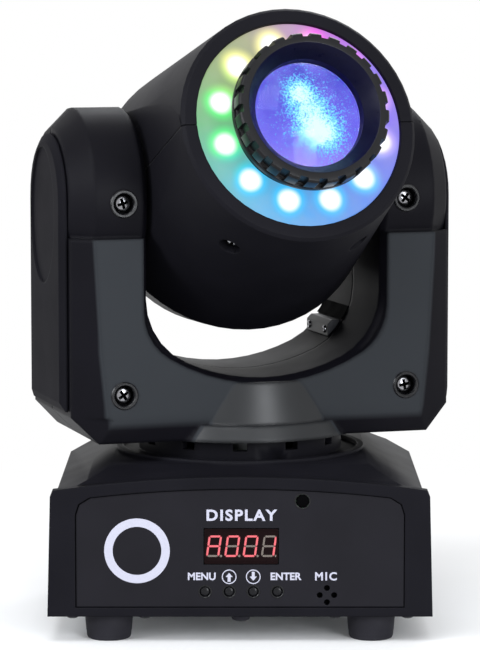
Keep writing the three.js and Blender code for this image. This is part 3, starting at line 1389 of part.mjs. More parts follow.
function cheek(side) {
  const start = YOKE_HALF_WIDTH + GAP;
  const end = start + CHEEK_THICKNESS;
  const ring = (inset, x) => cheekOutline(inset).map(([y, z]) => [y, x, z]);
  const plate = lofted([
    ring(0, start),
    ring(0, end - CHEEK_BEVEL / 2),
    ring(CHEEK_BEVEL, end),
  ]).applyMatrix4(new THREE.Matrix4().makeBasis(
    new THREE.Vector3(0, 1, 0),
    new THREE.Vector3(1, 0, 0),
    new THREE.Vector3(0, 0, 1),
  ));
  const oval = around(BADGE_SIDES, (angle) => [
    BADGE_Y + BADGE_HALF_DEPTH * Math.cos(angle),
    BADGE_Z + BADGE_HALF_HEIGHT * Math.sin(angle),
  ]);
  const made = geometryOf(cut(plate, extruded(oval, "x", end - BADGE_SINK, end + CUT)));
  if (side < 0) made.scale(-1, 1, 1);
  return flipped(made, side < 0);
}

// A mirrored geometry with its faces turned outwards again.
function flipped(geometry, wanted) {
  if (wanted) geometry.setIndex([...geometry.index.array].reverse());
  return geometry;
}

function accessBlock() {
  const outer = FRAME_ARM_X;
  const outline = [
    [ACCESS_X, ACCESS_BOTTOM + ACCESS_EDGE],
    [ACCESS_X + ACCESS_EDGE, ACCESS_BOTTOM],
    [outer, ACCESS_BOTTOM],
    [outer, ACCESS_TOP],
    [ACCESS_X + ACCESS_EDGE, ACCESS_TOP],
    [ACCESS_X, ACCESS_TOP - ACCESS_EDGE],
  ];
  const whole = extruded(outline, "y", ACCESS_FRONT_Y, ACCESS_BACK_Y);
  const mouth = innerMouthOutline(GAP);
  const top = [[-mouth[0][0], TILT_HEIGHT], [mouth[0][0], TILT_HEIGHT]];
  return common(whole, extruded([...mouth, ...top].reverse(), "y", 0, YOKE_HALF_DEPTH));
}

// Yoke frame, spindle and tilt drive
function yokeFrame() {
  const outer = FRAME_ARM_X + FRAME_SHEET;
  const half = FRAME_HALF_DEPTH;
  const floor = block([-outer, -half, FRAME_FLOOR_Z], [outer, half, FRAME_FLOOR_Z + FRAME_SHEET]);
  const arms = [-outer, FRAME_ARM_X].map((x) =>
    block([x, -half, FRAME_FLOOR_Z], [x + FRAME_SHEET, half, FRAME_ARM_TOP]),
  );
  const tabs = SCREW_PLACES.flatMap(([, x, z]) =>
    [-half - FRAME_SHEET, half].map((y) => {
      const inner = x < 0 ? -outer - FRAME_TAB_WIDTH + FRAME_SHEET : FRAME_ARM_X;
      return block(
        [inner, y, z - FRAME_TAB_HEIGHT / 2],
        [inner + FRAME_TAB_WIDTH, y + FRAME_SHEET, z + FRAME_TAB_HEIGHT / 2],
      );
    }),
  );
  const joinStrips = SCREW_PLACES.flatMap(([, x, z]) =>
    [-half - FRAME_SHEET, half - GAP].map((y) => {
      const inner = x < 0 ? -outer : FRAME_ARM_X;
      return block(
        [inner, y, z - FRAME_TAB_HEIGHT / 2],
        [inner + FRAME_SHEET, y + FRAME_SHEET + GAP, z + FRAME_TAB_HEIGHT / 2],
      );
    }),
  );
  const screwHoles = SCREW_PLACES.map(([, x, z]) =>
    rod(SCREW_RADIUS + GAP, "y", -half - FRAME_SHEET - CUT, CUT - half, SCREW_SIDES, [x, 0, z]),
  );
  const bearingHole = rod(TILT_BEARING_RADIUS + GAP, "x", -outer - CUT, outer + CUT, ROUND_SIDES, [
    0,
    0,
    TILT_HEIGHT,
  ]);
  const shaftHole = rod(MOTOR_SHAFT_RADIUS + GAP, "x", FRAME_ARM_X - CUT, outer + CUT, SMALL_SIDES, [
    0,
    0,
    TILT_MOTOR_Z,
  ]);
  const spindleHole = rod(SPINDLE_BORE, "z", 0, FRAME_FLOOR_Z + FRAME_SHEET + CUT, SMALL_SIDES);
  return cut(
    join(floor, ...arms, ...tabs, ...joinStrips),
    bearingHole,
    shaftHole,
    spindleHole,
    ...screwHoles,
  );
}

function panSpindle() {
  const top = FRAME_FLOOR_Z - GAP;
  const profile = [
    [0, SPINDLE_BOTTOM],
    [SPINDLE_NUT_RADIUS, SPINDLE_BOTTOM],
    [SPINDLE_NUT_RADIUS, SPINDLE_BOTTOM + SPINDLE_NUT_HEIGHT],
    [SPINDLE_RADIUS, SPINDLE_BOTTOM + SPINDLE_NUT_HEIGHT],
    [SPINDLE_RADIUS, top - BRACKET_SHEET],
    [SPINDLE_NUT_RADIUS - GAP, top - BRACKET_SHEET],
    [SPINDLE_NUT_RADIUS - GAP, top],
    [0, top],
  ];
  const bore = rod(SPINDLE_BORE, "z", SPINDLE_BOTTOM - CUT, top + CUT, SMALL_SIDES);
  return cut(turned(profile, "z", ROUND_SIDES), bore);
}

function tiltBearing(side) {
  const start = side < 0 ? -TILT_BEARING_X - TILT_BEARING_WIDTH : TILT_BEARING_X;
  return tube(
    TILT_BEARING_RADIUS,
    TRUNNION_RADIUS + GAP,
    "x",
    start,
    start + TILT_BEARING_WIDTH,
    ROUND_SIDES,
    [0, 0, TILT_HEIGHT],
  );
}

function tiltMotor() {
  const start = FRAME_ARM_X + FRAME_SHEET + GAP;
  const body = motorBody(TILT_MOTOR_SIZE, TILT_MOTOR_DEPTH, MOTOR_EDGE).rotateY(Math.PI / 2);
  body.translate(start, 0, TILT_MOTOR_Z);
  const bore = rod(MOTOR_SHAFT_RADIUS + GAP, "x", start - CUT, start + TILT_MOTOR_DEPTH + CUT, SMALL_SIDES, [
    0,
    0,
    TILT_MOTOR_Z,
  ]);
  return cut(body, bore);
}

function tiltPinion() {
  const centre = [0, 0, TILT_MOTOR_Z];
  const pulley = turned(pulleyProfile(TILT_PINION_RADIUS, TILT_PULLEY_X), "x", ROUND_SIDES, centre);
  const shaft = rod(MOTOR_SHAFT_RADIUS, "x", FRAME_ARM_X, TILT_PULLEY_X + CUT, SMALL_SIDES, centre);
  return join(pulley, shaft);
}

function tiltBelt() {
  const loop = belt(TILT_PULLEY_RADIUS, TILT_PINION_RADIUS, TILT_HEIGHT - TILT_MOTOR_Z, TILT_PULLEY_X);
  return geometryOf(loop).rotateY(Math.PI / 2).translate(0, 0, TILT_HEIGHT);
}

// Head shells: a flared round body about the optical axis, cut flat at both sides
const OPTIC = [0, 0, OPTIC_RISE];

function flareRadius(y) {
  return BEZEL_RADIUS + (y + BEZEL_FRONT - BEZEL_EDGE) * HEAD_FLARE_SHARE;
}

function sideCut(inset, low, high) {
  const half = HEAD_HALF_WIDTH - inset;
  const reach = flareRadius(HEAD_RIM_Y) + CUT;
  return block([-half, low, OPTIC_RISE - reach], [half, high, OPTIC_RISE + reach]);
}

function headBody() {
  const profile = [
    [0, -BEZEL_FRONT],
    [BEZEL_RADIUS - BEZEL_EDGE, -BEZEL_FRONT],
    [BEZEL_RADIUS, BEZEL_EDGE - BEZEL_FRONT],
    [flareRadius(HEAD_RIM_Y), HEAD_RIM_Y],
    [0, HEAD_RIM_Y],
  ];
  return common(turned(profile, "y", HEAD_SIDES, OPTIC), sideCut(0, -BEZEL_FRONT - CUT, HEAD_RIM_Y + CUT));
}

function headHollow() {
  const front = BEZEL_THICKNESS - BEZEL_FRONT;
  const back = HEAD_RIM_Y + CUT;
  const profile = [
    [0, front],
    [flareRadius(front) - HEAD_WALL, front],
    [flareRadius(back) - HEAD_WALL, back],
    [0, back],
  ];
  return common(turned(profile, "y", HEAD_SIDES, OPTIC), sideCut(HEAD_WALL, front - CUT, back + CUT));
}

function headShell(side) {
  const bore = rod(BEZEL_BORE, "y", -BEZEL_FRONT - CUT, 0, HEAD_SIDES, OPTIC);
  const shaftReach = HEAD_HALF_WIDTH + CUT;
  const shaftHole = rod(TRUNNION_HOLE_RADIUS, "x", -shaftReach, shaftReach, ROUND_SIDES);
  const reach = flareRadius(HEAD_RIM_Y) + CUT;
  const low = [-reach, -BEZEL_FRONT - CUT, side < 0 ? OPTIC_RISE - reach : OPTIC_RISE + GAP / 2];
  const high = [reach, HEAD_RIM_Y + CUT, side < 0 ? OPTIC_RISE - GAP / 2 : OPTIC_RISE + reach];
  return common(cut(headBody(), headHollow(), bore, shaftHole), block(low, high));
}

function headUpperShell() {
  return headShell(1);
}

// A rod that stands square on the lower shell, from a depth below its surface outwards.
function shellRod(radius, depth, height, degrees) {
  const surface = flareRadius(HEAD_SCREW_Y);
  return rod(radius, "z", -surface - height, depth - surface, SMALL_SIDES)
    .rotateY(radians(degrees))
    .translate(0, HEAD_SCREW_Y, OPTIC_RISE);
}

function headLowerShell() {
  const places = [-HEAD_SCREW_DEGREES, HEAD_SCREW_DEGREES];
  const posts = places.map((degrees) =>
    common(
      shellRod(HEAD_SCREW_RECESS_RADIUS + HEAD_WALL, HEAD_SCREW_RECESS_DEPTH + HEAD_WALL, 0, degrees),
      headBody(),
    ),
  );
  const recesses = places.map((degrees) =>
    shellRod(HEAD_SCREW_RECESS_RADIUS, HEAD_SCREW_RECESS_DEPTH, CUT, degrees),
  );
  return cut(join(headShell(-1), ...posts), ...recesses);
}

function rearCoverForm(inset, front, back) {
  const rim = flareRadius(HEAD_RIM_Y) - inset;
  const profile = [
    [0, front],
    [rim, front],
    [rim, HEAD_RIM_Y + GAP],
    [REAR_BEND_RADIUS - inset, REAR_COVER_BEND],
    [REAR_END_RADIUS - inset, back],
    [0, back],
  ];
  const plan = [
    [HEAD_HALF_WIDTH - inset, front - CUT],
    [HEAD_HALF_WIDTH - inset, HEAD_RIM_Y + GAP],
    [REAR_BEND_HALF_WIDTH - inset, REAR_COVER_BEND],
    [REAR_END_HALF_WIDTH - inset, back],
    [REAR_END_HALF_WIDTH - inset, back + CUT],
  ];
  const low = OPTIC_RISE - rim - CUT;
  const high = OPTIC_RISE + rim + CUT;
  return common(
    turned(front < HEAD_RIM_Y + GAP ? profile : [profile[0], ...profile.slice(2)], "y", HEAD_SIDES, OPTIC),
    extruded([...plan, ...mirrored(plan)], "z", low, high),
  );
}

function rearCover() {
  const outside = rearCoverForm(0, HEAD_RIM_Y + GAP, REAR_COVER_BACK);
  const inside = rearCoverForm(HEAD_WALL, HEAD_RIM_Y - CUT, REAR_COVER_BACK - HEAD_WALL);
  const slots = Array.from({ length: GRILLE_SLOT_COUNT }, (_, i) => {
    const z = OPTIC_RISE + (i - (GRILLE_SLOT_COUNT - 1) / 2) * GRILLE_SLOT_PITCH;
    return block(
      [-GRILLE_SLOT_LENGTH / 2, REAR_COVER_BEND, z - GRILLE_SLOT_WIDTH / 2],
      [GRILLE_SLOT_LENGTH / 2, REAR_COVER_BACK + CUT, z + GRILLE_SLOT_WIDTH / 2],
    );
  });
  return cut(outside, inside, ...slots);
}

// Light ring
function ringDiffuser() {
  const front = -DIFFUSER_FRONT;
  const back = -RING_BOARD_FRONT - GAP;
  const flange = BEZEL_THICKNESS - BEZEL_FRONT + GAP;
  const face = front + DIFFUSER_THICKNESS;
  const profile = [
    [DIFFUSER_BORE, back],
    [DIFFUSER_BORE, front],
    [DIFFUSER_RADIUS, front],
    [DIFFUSER_RADIUS, flange],
    [DIFFUSER_FLANGE_RADIUS, flange],
    [DIFFUSER_FLANGE_RADIUS, back],
    [DIFFUSER_RADIUS - DIFFUSER_SKIRT, back],
    [DIFFUSER_RADIUS - DIFFUSER_SKIRT, face],
    [DIFFUSER_BORE + DIFFUSER_SKIRT, face],
    [DIFFUSER_BORE + DIFFUSER_SKIRT, back],
    [DIFFUSER_BORE, back],
  ];
  return turned(profile, "y", HEAD_SIDES, OPTIC);
}

function ringBoard() {
  const sheet = tube(
    DIFFUSER_FLANGE_RADIUS,
    RING_BOARD_BORE,
    "y",
    -RING_BOARD_FRONT,
    BOARD_THICKNESS - RING_BOARD_FRONT,
    HEAD_SIDES,
    OPTIC,
  );
  const half = RING_LED_SIZE / 2;
  const lamps = around(RING_LED_COUNT, (angle) =>
    block(
      [RING_LED_CIRCLE - half, -RING_BOARD_FRONT - RING_LED_HEIGHT, -half],
      [RING_LED_CIRCLE + half, GAP - RING_BOARD_FRONT, half],
    )
      .rotateY(angle + Math.PI / RING_LED_COUNT)
      .translate(...OPTIC),
  );
  return join(sheet, ...lamps);
}

// Lens tube with its carrier disc for the light ring
function lensTube() {
  const wide = TUBE_BORE + TUBE_WALL;
  const narrowBore = TUBE_NARROW_RADIUS - TUBE_NARROW_WALL;
  const carrier = BEZEL_RADIUS - HEAD_WALL - GAP;
  const carrierFront = GAP + BOARD_THICKNESS - RING_BOARD_FRONT;
  const profile = [
    [0, -TUBE_FRONT],
    [wide, -TUBE_FRONT],
    [wide, carrierFront],
    [carrier, carrierFront],
    [carrier, carrierFront + TUBE_CARRIER_THICKNESS],
    [wide, carrierFront + TUBE_CARRIER_THICKNESS],
    [wide, -TUBE_WIDE_BACK],
    [TUBE_NARROW_RADIUS, -TUBE_WIDE_BACK + TUBE_WALL],
    [TUBE_NARROW_RADIUS, -CHASSIS_PLATE_FRONT - GAP],
    [0, -CHASSIS_PLATE_FRONT - GAP],
  ];
  const bore = [
    [0, -TUBE_FRONT - CUT],
    [TUBE_BORE, -TUBE_FRONT - CUT],
    [TUBE_BORE, -TUBE_WIDE_BACK - TUBE_WALL],
    [narrowBore, -TUBE_WIDE_BACK],
    [narrowBore, CUT - CHASSIS_PLATE_FRONT],
    [0, CUT - CHASSIS_PLATE_FRONT],
  ];
  return cut(turned(profile, "y", DRUM_SIDES, OPTIC), turned(bore, "y", DRUM_SIDES, OPTIC));
}

function focusRing() {
  const profile = [
    [0, -FOCUS_FRONT],
    [FOCUS_LIP_RADIUS, -FOCUS_FRONT],
    [FOCUS_KNURL_RADIUS, -FOCUS_KNURL_FRONT],
    [FOCUS_KNURL_RADIUS, -FOCUS_KNURL_BACK],
    [FOCUS_RADIUS, -FOCUS_KNURL_BACK],
    [FOCUS_RADIUS, -FOCUS_GROOVE_BACK],
    [FOCUS_KNURL_RADIUS, -FOCUS_GROOVE_BACK],
    [FOCUS_KNURL_RADIUS, -FOCUS_BACK],
    [FOCUS_NECK_RADIUS, -FOCUS_BACK],
    [FOCUS_NECK_RADIUS, -FOCUS_NECK_BACK],
    [FOCUS_SLEEVE_RADIUS, -FOCUS_NECK_BACK],
    [FOCUS_SLEEVE_RADIUS, -FOCUS_SLEEVE_BACK],
    [0, -FOCUS_SLEEVE_BACK],
  ];
  const mouth = [
    [0, -FOCUS_FRONT - CUT],
    [FOCUS_MOUTH_RADIUS, -FOCUS_FRONT - CUT],
    [FOCUS_MOUTH_RADIUS, -FOCUS_FRONT],
    [FOCUS_SEAT_RADIUS, -FOCUS_SEAT_Y],
    [FOCUS_SEAT_RADIUS, GAP - LENS_EDGE_BACK],
    [FOCUS_SLEEVE_BORE, GAP - LENS_EDGE_BACK],
    [FOCUS_SLEEVE_BORE, CUT - FOCUS_SLEEVE_BACK],
    [0, CUT - FOCUS_SLEEVE_BACK],
  ];
  const pitch = (2 * Math.PI * FOCUS_KNURL_RADIUS) / FOCUS_NOTCH_COUNT;
  const half = (pitch * FOCUS_NOTCH_SHARE) / 2;
  const notches = around(FOCUS_NOTCH_COUNT, (angle) =>
    block(
      [FOCUS_RADIUS, -FOCUS_FRONT - CUT, -half],
      [FOCUS_KNURL_RADIUS + CUT, -FOCUS_KNURL_BACK, half],
    )
      .rotateY(angle)
      .translate(...OPTIC),
  );
  return cut(turned(profile, "y", DRUM_SIDES, OPTIC), turned(mouth, "y", DRUM_SIDES, OPTIC), ...notches);
}

function objectiveLens() {
  const crown = LENS_FRONT_CROWN - LENS_EDGE_FRONT;
  const dome = Array.from({ length: LENS_RINGS + 1 }, (_, i) => {
    const share = i / LENS_RINGS;
    return [LENS_RADIUS * share, -LENS_EDGE_FRONT - crown * (1 - share * share)];
  });
  const profile = [...dome, [LENS_RADIUS, -LENS_EDGE_BACK], [0, -LENS_EDGE_BACK]];
  return turned(profile, "y", ROUND_SIDES, OPTIC);
}

// Head chassis with its hollow trunnions
function headChassis() {
  const outer = CHASSIS_X + CHASSIS_SHEET;
  const wing = BEZEL_RADIUS - HEAD_WALL - GAP;
  const outline = [
    [CHASSIS_CORNER_HALF_WIDTH, CHASSIS_PLATE_BOTTOM],
    [outer, -CHASSIS_EAR_HALF_HEIGHT],
    [outer, OPTIC_RISE - CHASSIS_WING_HALF_HEIGHT],
    [wing, OPTIC_RISE - CHASSIS_WING_HALF_HEIGHT],
    [wing, OPTIC_RISE + CHASSIS_WING_HALF_HEIGHT],
    [outer, OPTIC_RISE + CHASSIS_WING_HALF_HEIGHT],
    [outer, CHASSIS_EAR_HALF_HEIGHT],
    [CHASSIS_CORNER_HALF_WIDTH, CHASSIS_PLATE_TOP],
  ];
  const plate = extruded(
    [...outline, ...mirrored(outline)],
    "y",
    -CHASSIS_PLATE_FRONT,
    CHASSIS_SHEET - CHASSIS_PLATE_FRONT,
  );
  const ears = [-outer, CHASSIS_X].map((x) =>
    block(
      [x, -CHASSIS_PLATE_FRONT, -CHASSIS_EAR_HALF_HEIGHT],
      [x + CHASSIS_SHEET, CHASSIS_BACK, CHASSIS_EAR_HALF_HEIGHT],
    ),
  );
  const trunnions = [
    rod(TRUNNION_RADIUS, "x", -TRUNNION_LEFT_END, -CHASSIS_X, ROUND_SIDES),
    rod(TRUNNION_RADIUS, "x", CHASSIS_X, TRUNNION_RIGHT_END, ROUND_SIDES),
  ];
  const bore = rod(TRUNNION_BORE, "x", -TRUNNION_LEFT_END - CUT, TRUNNION_RIGHT_END + CUT, SMALL_SIDES);
  const aperture = rod(APERTURE_RADIUS, "y", -CHASSIS_PLATE_FRONT - CUT, 0, ROUND_SIDES, OPTIC);
  const shafts = [WHEEL_OFFSET, -WHEEL_OFFSET].map((rise) =>
    rod(WHEEL_SHAFT_RADIUS + GAP, "y", -CHASSIS_PLATE_FRONT - CUT, 0, SCREW_SIDES, [
      0,
      0,
      OPTIC_RISE + rise,
    ]),
  );
  return cut(join(plate, ...ears, ...trunnions), bore, aperture, ...shafts);
}

function tiltPulley() {
  const bore = rod(
    TRUNNION_RADIUS + GAP,
    "x",
    TILT_PULLEY_X - CUT,
    TILT_PULLEY_X + PULLEY_WIDTH + CUT,
    ROUND_SIDES,
  );
  return cut(turned(pulleyProfile(TILT_PULLEY_RADIUS, TILT_PULLEY_X), "x", DRUM_SIDES), bore);
}

// Effect wheels: a disc with a ring of openings, one of them on the light's axis
function effectWheel(front, rise) {
  const centre = [0, 0, OPTIC_RISE + rise];
  const disc = rod(WHEEL_RADIUS, "y", -front, WHEEL_THICKNESS - front, DRUM_SIDES, centre);
  const hub = rod(WHEEL_HUB_RADIUS, "y", -front - WHEEL_THICKNESS, GAP - front, SMALL_SIDES, centre);
  const end = -CHASSIS_PLATE_FRONT - GAP - WHEEL_MOTOR_BORE_DEPTH + GAP;
  const shaft = rod(WHEEL_SHAFT_RADIUS, "y", end, GAP - front, SCREW_SIDES, centre);
  const holes = around(WHEEL_HOLE_COUNT, (angle) =>
    rod(WHEEL_HOLE_RADIUS, "y", -front - CUT, WHEEL_THICKNESS - front + CUT, SMALL_SIDES, [
      WHEEL_OFFSET * Math.sin(angle),
      0,
      centre[2] - Math.sign(rise) * WHEEL_OFFSET * Math.cos(angle),
    ]),
  );
  return join(cut(disc, ...holes), hub, shaft);
}

function wheelMotor(rise) {
  const centre = [0, 0, OPTIC_RISE + rise];
  const back = -CHASSIS_PLATE_FRONT - GAP;
  const body = rod(WHEEL_MOTOR_RADIUS, "y", back - WHEEL_MOTOR_LENGTH, back, ROUND_SIDES, centre);
  const deepest = back - WHEEL_MOTOR_BORE_DEPTH;
  const bore = rod(WHEEL_SHAFT_RADIUS + GAP, "y", deepest, back + CUT, SCREW_SIDES, centre);
  return cut(body, bore);
}

// Lamp with its condenser, heat sink and fan
function lampEngine() {
  const half = LAMP_PLATE_SIZE / 2;
  const plate = block(
    [-half, LAMP_BACK - LAMP_PLATE_THICKNESS, OPTIC_RISE - half],
    [half, LAMP_BACK, OPTIC_RISE + half],
  );
  const cone = turned(
    [
      [0, LAMP_FRONT],
      [LAMP_CONE_FRONT_RADIUS, LAMP_FRONT],
      [LAMP_CONE_BACK_RADIUS, LAMP_BACK - LAMP_PLATE_THICKNESS + GAP],
      [0, LAMP_BACK - LAMP_PLATE_THICKNESS + GAP],
    ],
    "y",
    ROUND_SIDES,
    OPTIC,
  );
  return join(plate, cone);
}

function heatSink() {
  const plate = block(
    [-SINK_HALF_WIDTH, SINK_FRONT, OPTIC_RISE - SINK_HALF_HEIGHT],
    [SINK_HALF_WIDTH, SINK_FRONT + SINK_PLATE, OPTIC_RISE + SINK_HALF_HEIGHT],
  );
  const pitch = (2 * SINK_HALF_WIDTH - SINK_FIN_THICKNESS) / (SINK_FIN_COUNT - 1);
  const back = SINK_FRONT + SINK_DEPTH;
  const fins = Array.from({ length: SINK_FIN_COUNT }, (_, i) => {
    const x = i * pitch - SINK_HALF_WIDTH;
    return block(
      [x, SINK_FRONT, OPTIC_RISE - SINK_HALF_HEIGHT],
      [x + SINK_FIN_THICKNESS, back, OPTIC_RISE + SINK_HALF_HEIGHT],
    );
  });
  return join(plate, ...fins);
}

const FAN_FRONT = SINK_FRONT + SINK_DEPTH + GAP;

function fanFrame() {
  const half = FAN_SIZE / 2;
  const back = FAN_FRONT + FAN_DEPTH;
  const body = block([-half, FAN_FRONT, OPTIC_RISE - half], [half, back, OPTIC_RISE + half]);
  const duct = rod(FAN_BORE, "y", FAN_FRONT - CUT, back + CUT, DRUM_SIDES, OPTIC);
  const hub = rod(FAN_HUB_RADIUS, "y", back - FAN_SPOKE_THICKNESS, back, ROUND_SIDES, OPTIC);
  const pin = rod(FAN_PIN_RADIUS, "y", FAN_FRONT + FAN_SPOKE_THICKNESS, back, SCREW_SIDES, OPTIC);
  const spokes = around(4, (angle) =>
    block(
      [0, back - FAN_SPOKE_THICKNESS, -FAN_SPOKE_WIDTH / 2],
      [FAN_BORE + CUT / 2, back, FAN_SPOKE_WIDTH / 2],
    )
      .rotateY(angle)
      .translate(...OPTIC),
  );
  return join(cut(body, duct), hub, pin, ...spokes);
}

function fanRotor() {
  const back = FAN_FRONT + FAN_DEPTH - FAN_SPOKE_THICKNESS - FAN_HUB_CLEARANCE;
  const hub = rod(FAN_HUB_RADIUS, "y", FAN_FRONT, back, ROUND_SIDES, OPTIC);
  const pinRoom = FAN_FRONT + FAN_SPOKE_THICKNESS - GAP;
  const bore = rod(FAN_PIN_RADIUS + GAP, "y", pinRoom, back + CUT, SCREW_SIDES, OPTIC);
  const depth = back - FAN_FRONT;
  const blades = around(FAN_BLADE_COUNT, (angle) =>
    block(
      [0, -depth / 2 + GAP, -FAN_BLADE_THICKNESS / 2],
      [FAN_BLADE_RADIUS, depth / 2 - GAP, FAN_BLADE_THICKNESS / 2],
    )
      .rotateX(radians(FAN_BLADE_DEGREES))
      .rotateY(angle)
      .translate(0, FAN_FRONT + depth / 2, OPTIC_RISE),
  );
  return cut(join(hub, ...blades), bore);
}

// Assembly
function baseGroup() {
  const group = new THREE.Group();
  group.add(
    named("base_housing", "housing", baseHousing()),
    named("base_plate", "steel", basePlate()),
    named("control_panel", "panel", controlPanel()),
    named("display_module", "display", displayModule()),
    named("control_board", "board", controlBoard()),
    named("power_supply", "component", powerSupply()),
    named("rear_panel", "panel", rearPanel()),
    named("power_inlet", "component", powerInlet()),
    named("dmx_input", "component", dmxInput()),
    named("dmx_output", "component", dmxOutput()),
    named("bearing_bracket", "steel", bearingBracket()),
    named("pan_bearing", "steel", panBearing()),
    named("pan_motor", "motor", panMotor()),
    named("pan_pinion", "aluminium", panPinion()),
    named("pan_belt", "belt", panBelt()),
  );
  footPlaces().forEach(([name, x, y]) => group.add(named(name, "foot", foot(x, y))));
  ["menu_button", "up_button", "down_button", "enter_button"].forEach((name, i) =>
    group.add(named(name, "button", button(i))),
  );
  return group;
}

function yokeGroup() {
  const group = new THREE.Group();
  group.add(
    named("yoke_front_cover", "housing", yokeFrontCover()),
    named("yoke_rear_cover", "housing", yokeRearCover()),
    named("left_side_cover", "housing", cheek(-1)),
    named("right_side_cover", "housing", cheek(1)),
    named("access_block", "housing", accessBlock()),
    named("yoke_frame", "steel", yokeFrame()),
    named("pan_spindle", "steel", panSpindle()),
    named("pan_pulley", "aluminium", panPulley()),
    named("left_tilt_bearing", "steel", tiltBearing(-1)),
    named("right_tilt_bearing", "steel", tiltBearing(1)),
    named("tilt_motor", "motor", tiltMotor()),
    named("tilt_pinion", "aluminium", tiltPinion()),
    named("tilt_belt", "belt", tiltBelt()),
  );
  SCREW_PLACES.forEach(([name, x, z]) => group.add(named(name, "screw", yokeScrew(x, z))));
  return group;
}

function headGroup() {
  const group = new THREE.Group();
  group.add(
    named("head_upper_shell", "housing", headUpperShell()),
    named("head_lower_shell", "housing", headLowerShell()),
    named("head_rear_cover", "housing", rearCover()),
    named("ring_diffuser", "diffuser", ringDiffuser()),
    named("ring_board", "board", ringBoard()),
    named("lens_tube", "component", lensTube()),
    named("focus_ring", "housing", focusRing()),
    named("objective_lens", "glass", objectiveLens()),
    named("head_chassis", "steel", headChassis()),
    named("tilt_pulley", "aluminium", tiltPulley()),
    named("gobo_wheel", "aluminium", effectWheel(GOBO_WHEEL_FRONT, WHEEL_OFFSET)),
    named("gobo_motor", "motor", wheelMotor(WHEEL_OFFSET)),
    named("colour_wheel", "aluminium", effectWheel(COLOUR_WHEEL_FRONT, -WHEEL_OFFSET)),
    named("colour_motor", "motor", wheelMotor(-WHEEL_OFFSET)),
    named("lamp_engine", "motor", lampEngine()),
    named("heat_sink", "aluminium", heatSink()),
    named("fan_frame", "component", fanFrame()),
    named("fan_rotor", "component", fanRotor()),
  );
  return group;
}

const head = headGroup();
head.position.z = TILT_HEIGHT;
head.rotation.x = -radians(TILT_DEGREES);

const yoke = yokeGroup();
yoke.add(head);
yoke.rotation.z = radians(PAN_DEGREES);

const movingHead = new THREE.Group();
movingHead.add(baseGroup(), yoke);

export default movingHead;
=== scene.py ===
import json
import math

import bmesh
import bpy
from mathutils import Matrix, Vector

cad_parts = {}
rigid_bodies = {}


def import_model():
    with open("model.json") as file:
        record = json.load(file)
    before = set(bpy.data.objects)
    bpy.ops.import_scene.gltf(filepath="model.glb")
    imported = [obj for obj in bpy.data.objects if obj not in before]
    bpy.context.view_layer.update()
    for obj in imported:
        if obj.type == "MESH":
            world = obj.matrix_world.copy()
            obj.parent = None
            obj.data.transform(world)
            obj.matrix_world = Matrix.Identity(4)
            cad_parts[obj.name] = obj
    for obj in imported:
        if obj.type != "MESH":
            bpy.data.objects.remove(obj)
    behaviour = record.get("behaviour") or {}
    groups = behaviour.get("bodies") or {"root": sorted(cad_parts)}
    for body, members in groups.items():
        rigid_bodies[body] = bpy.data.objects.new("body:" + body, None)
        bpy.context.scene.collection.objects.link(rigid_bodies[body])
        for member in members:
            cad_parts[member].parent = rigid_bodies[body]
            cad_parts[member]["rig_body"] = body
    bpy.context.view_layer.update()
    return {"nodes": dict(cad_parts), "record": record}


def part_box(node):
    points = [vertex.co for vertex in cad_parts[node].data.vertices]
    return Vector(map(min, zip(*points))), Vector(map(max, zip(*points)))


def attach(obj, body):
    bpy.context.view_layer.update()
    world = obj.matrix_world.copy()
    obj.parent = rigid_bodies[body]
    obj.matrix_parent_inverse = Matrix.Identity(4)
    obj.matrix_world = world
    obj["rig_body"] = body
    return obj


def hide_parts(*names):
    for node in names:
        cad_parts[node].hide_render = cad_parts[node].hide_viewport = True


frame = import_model()
scene_objects = bpy.context.scene.collection.objects

# Lengths below are in millimetres, and become metres where they reach the scene
MM = 0.001

# Rest pose
PAN = math.radians(17.4)
TILT = math.radians(20.9)
TILT_HEIGHT = 170.3
OPTIC_RISE = 3.2

# Camera, which looks along +Y from the front
CAMERA_DISTANCE = 1380
CAMERA_HEIGHT = 264.3
CAMERA_PITCH = math.radians(6.23)
SENSOR_WIDTH = 36
FOCAL_SHARE = 4.9123
VIEW_START = 50
VIEW_END = 20000

# Control panel
PANEL_FACE = -74.4
PANEL_BACK = -72.2
CONTROL_X = 0.5
SENSOR_X = 25.9
SENSOR_Z = 48.4
SENSOR_SINK = 0.25
MIC_X = 36.1
MIC_Z = 8.9
# A near-black disc behind the microphone openings, painted shade
MIC_SHADE_RADIUS = 5.6
MIC_SHADE_THICKNESS = 0.4

# Buttons
BUTTON_PITCH = 10
BUTTON_Z = 10.4
BUTTON_RADIUS = 2.1
BUTTON_FLANGE_RADIUS = 3
BUTTON_FLANGE_FRONT = -2.15
BUTTON_FLANGE_BACK = -2.9

# Printing on the control panel
PRINT_LIFT = 0.02
PRINT_THICKNESS = 0.05
PRINT_SWELL = 0.13
FONT_SHARE = 1.38
TITLE_X = 0.4
TITLE_Z = 42.3
TITLE_HEIGHT = 4.6
TITLE_SWELL = 0.2
LABEL_Z = 16.7
LABEL_HEIGHT = 3.1
MENU_X = -15.9
ENTER_X = 18.9
MIC_LABEL_X = 35.6
MIC_LABEL_HEIGHT = 3.4
ARROW_RING_BORE = 2.65
ARROW_RING_RADIUS = 3.05
MARK_X = -42.7
MARK_Z = 27.6
MARK_BORE = 10.1
MARK_RADIUS = 13.6

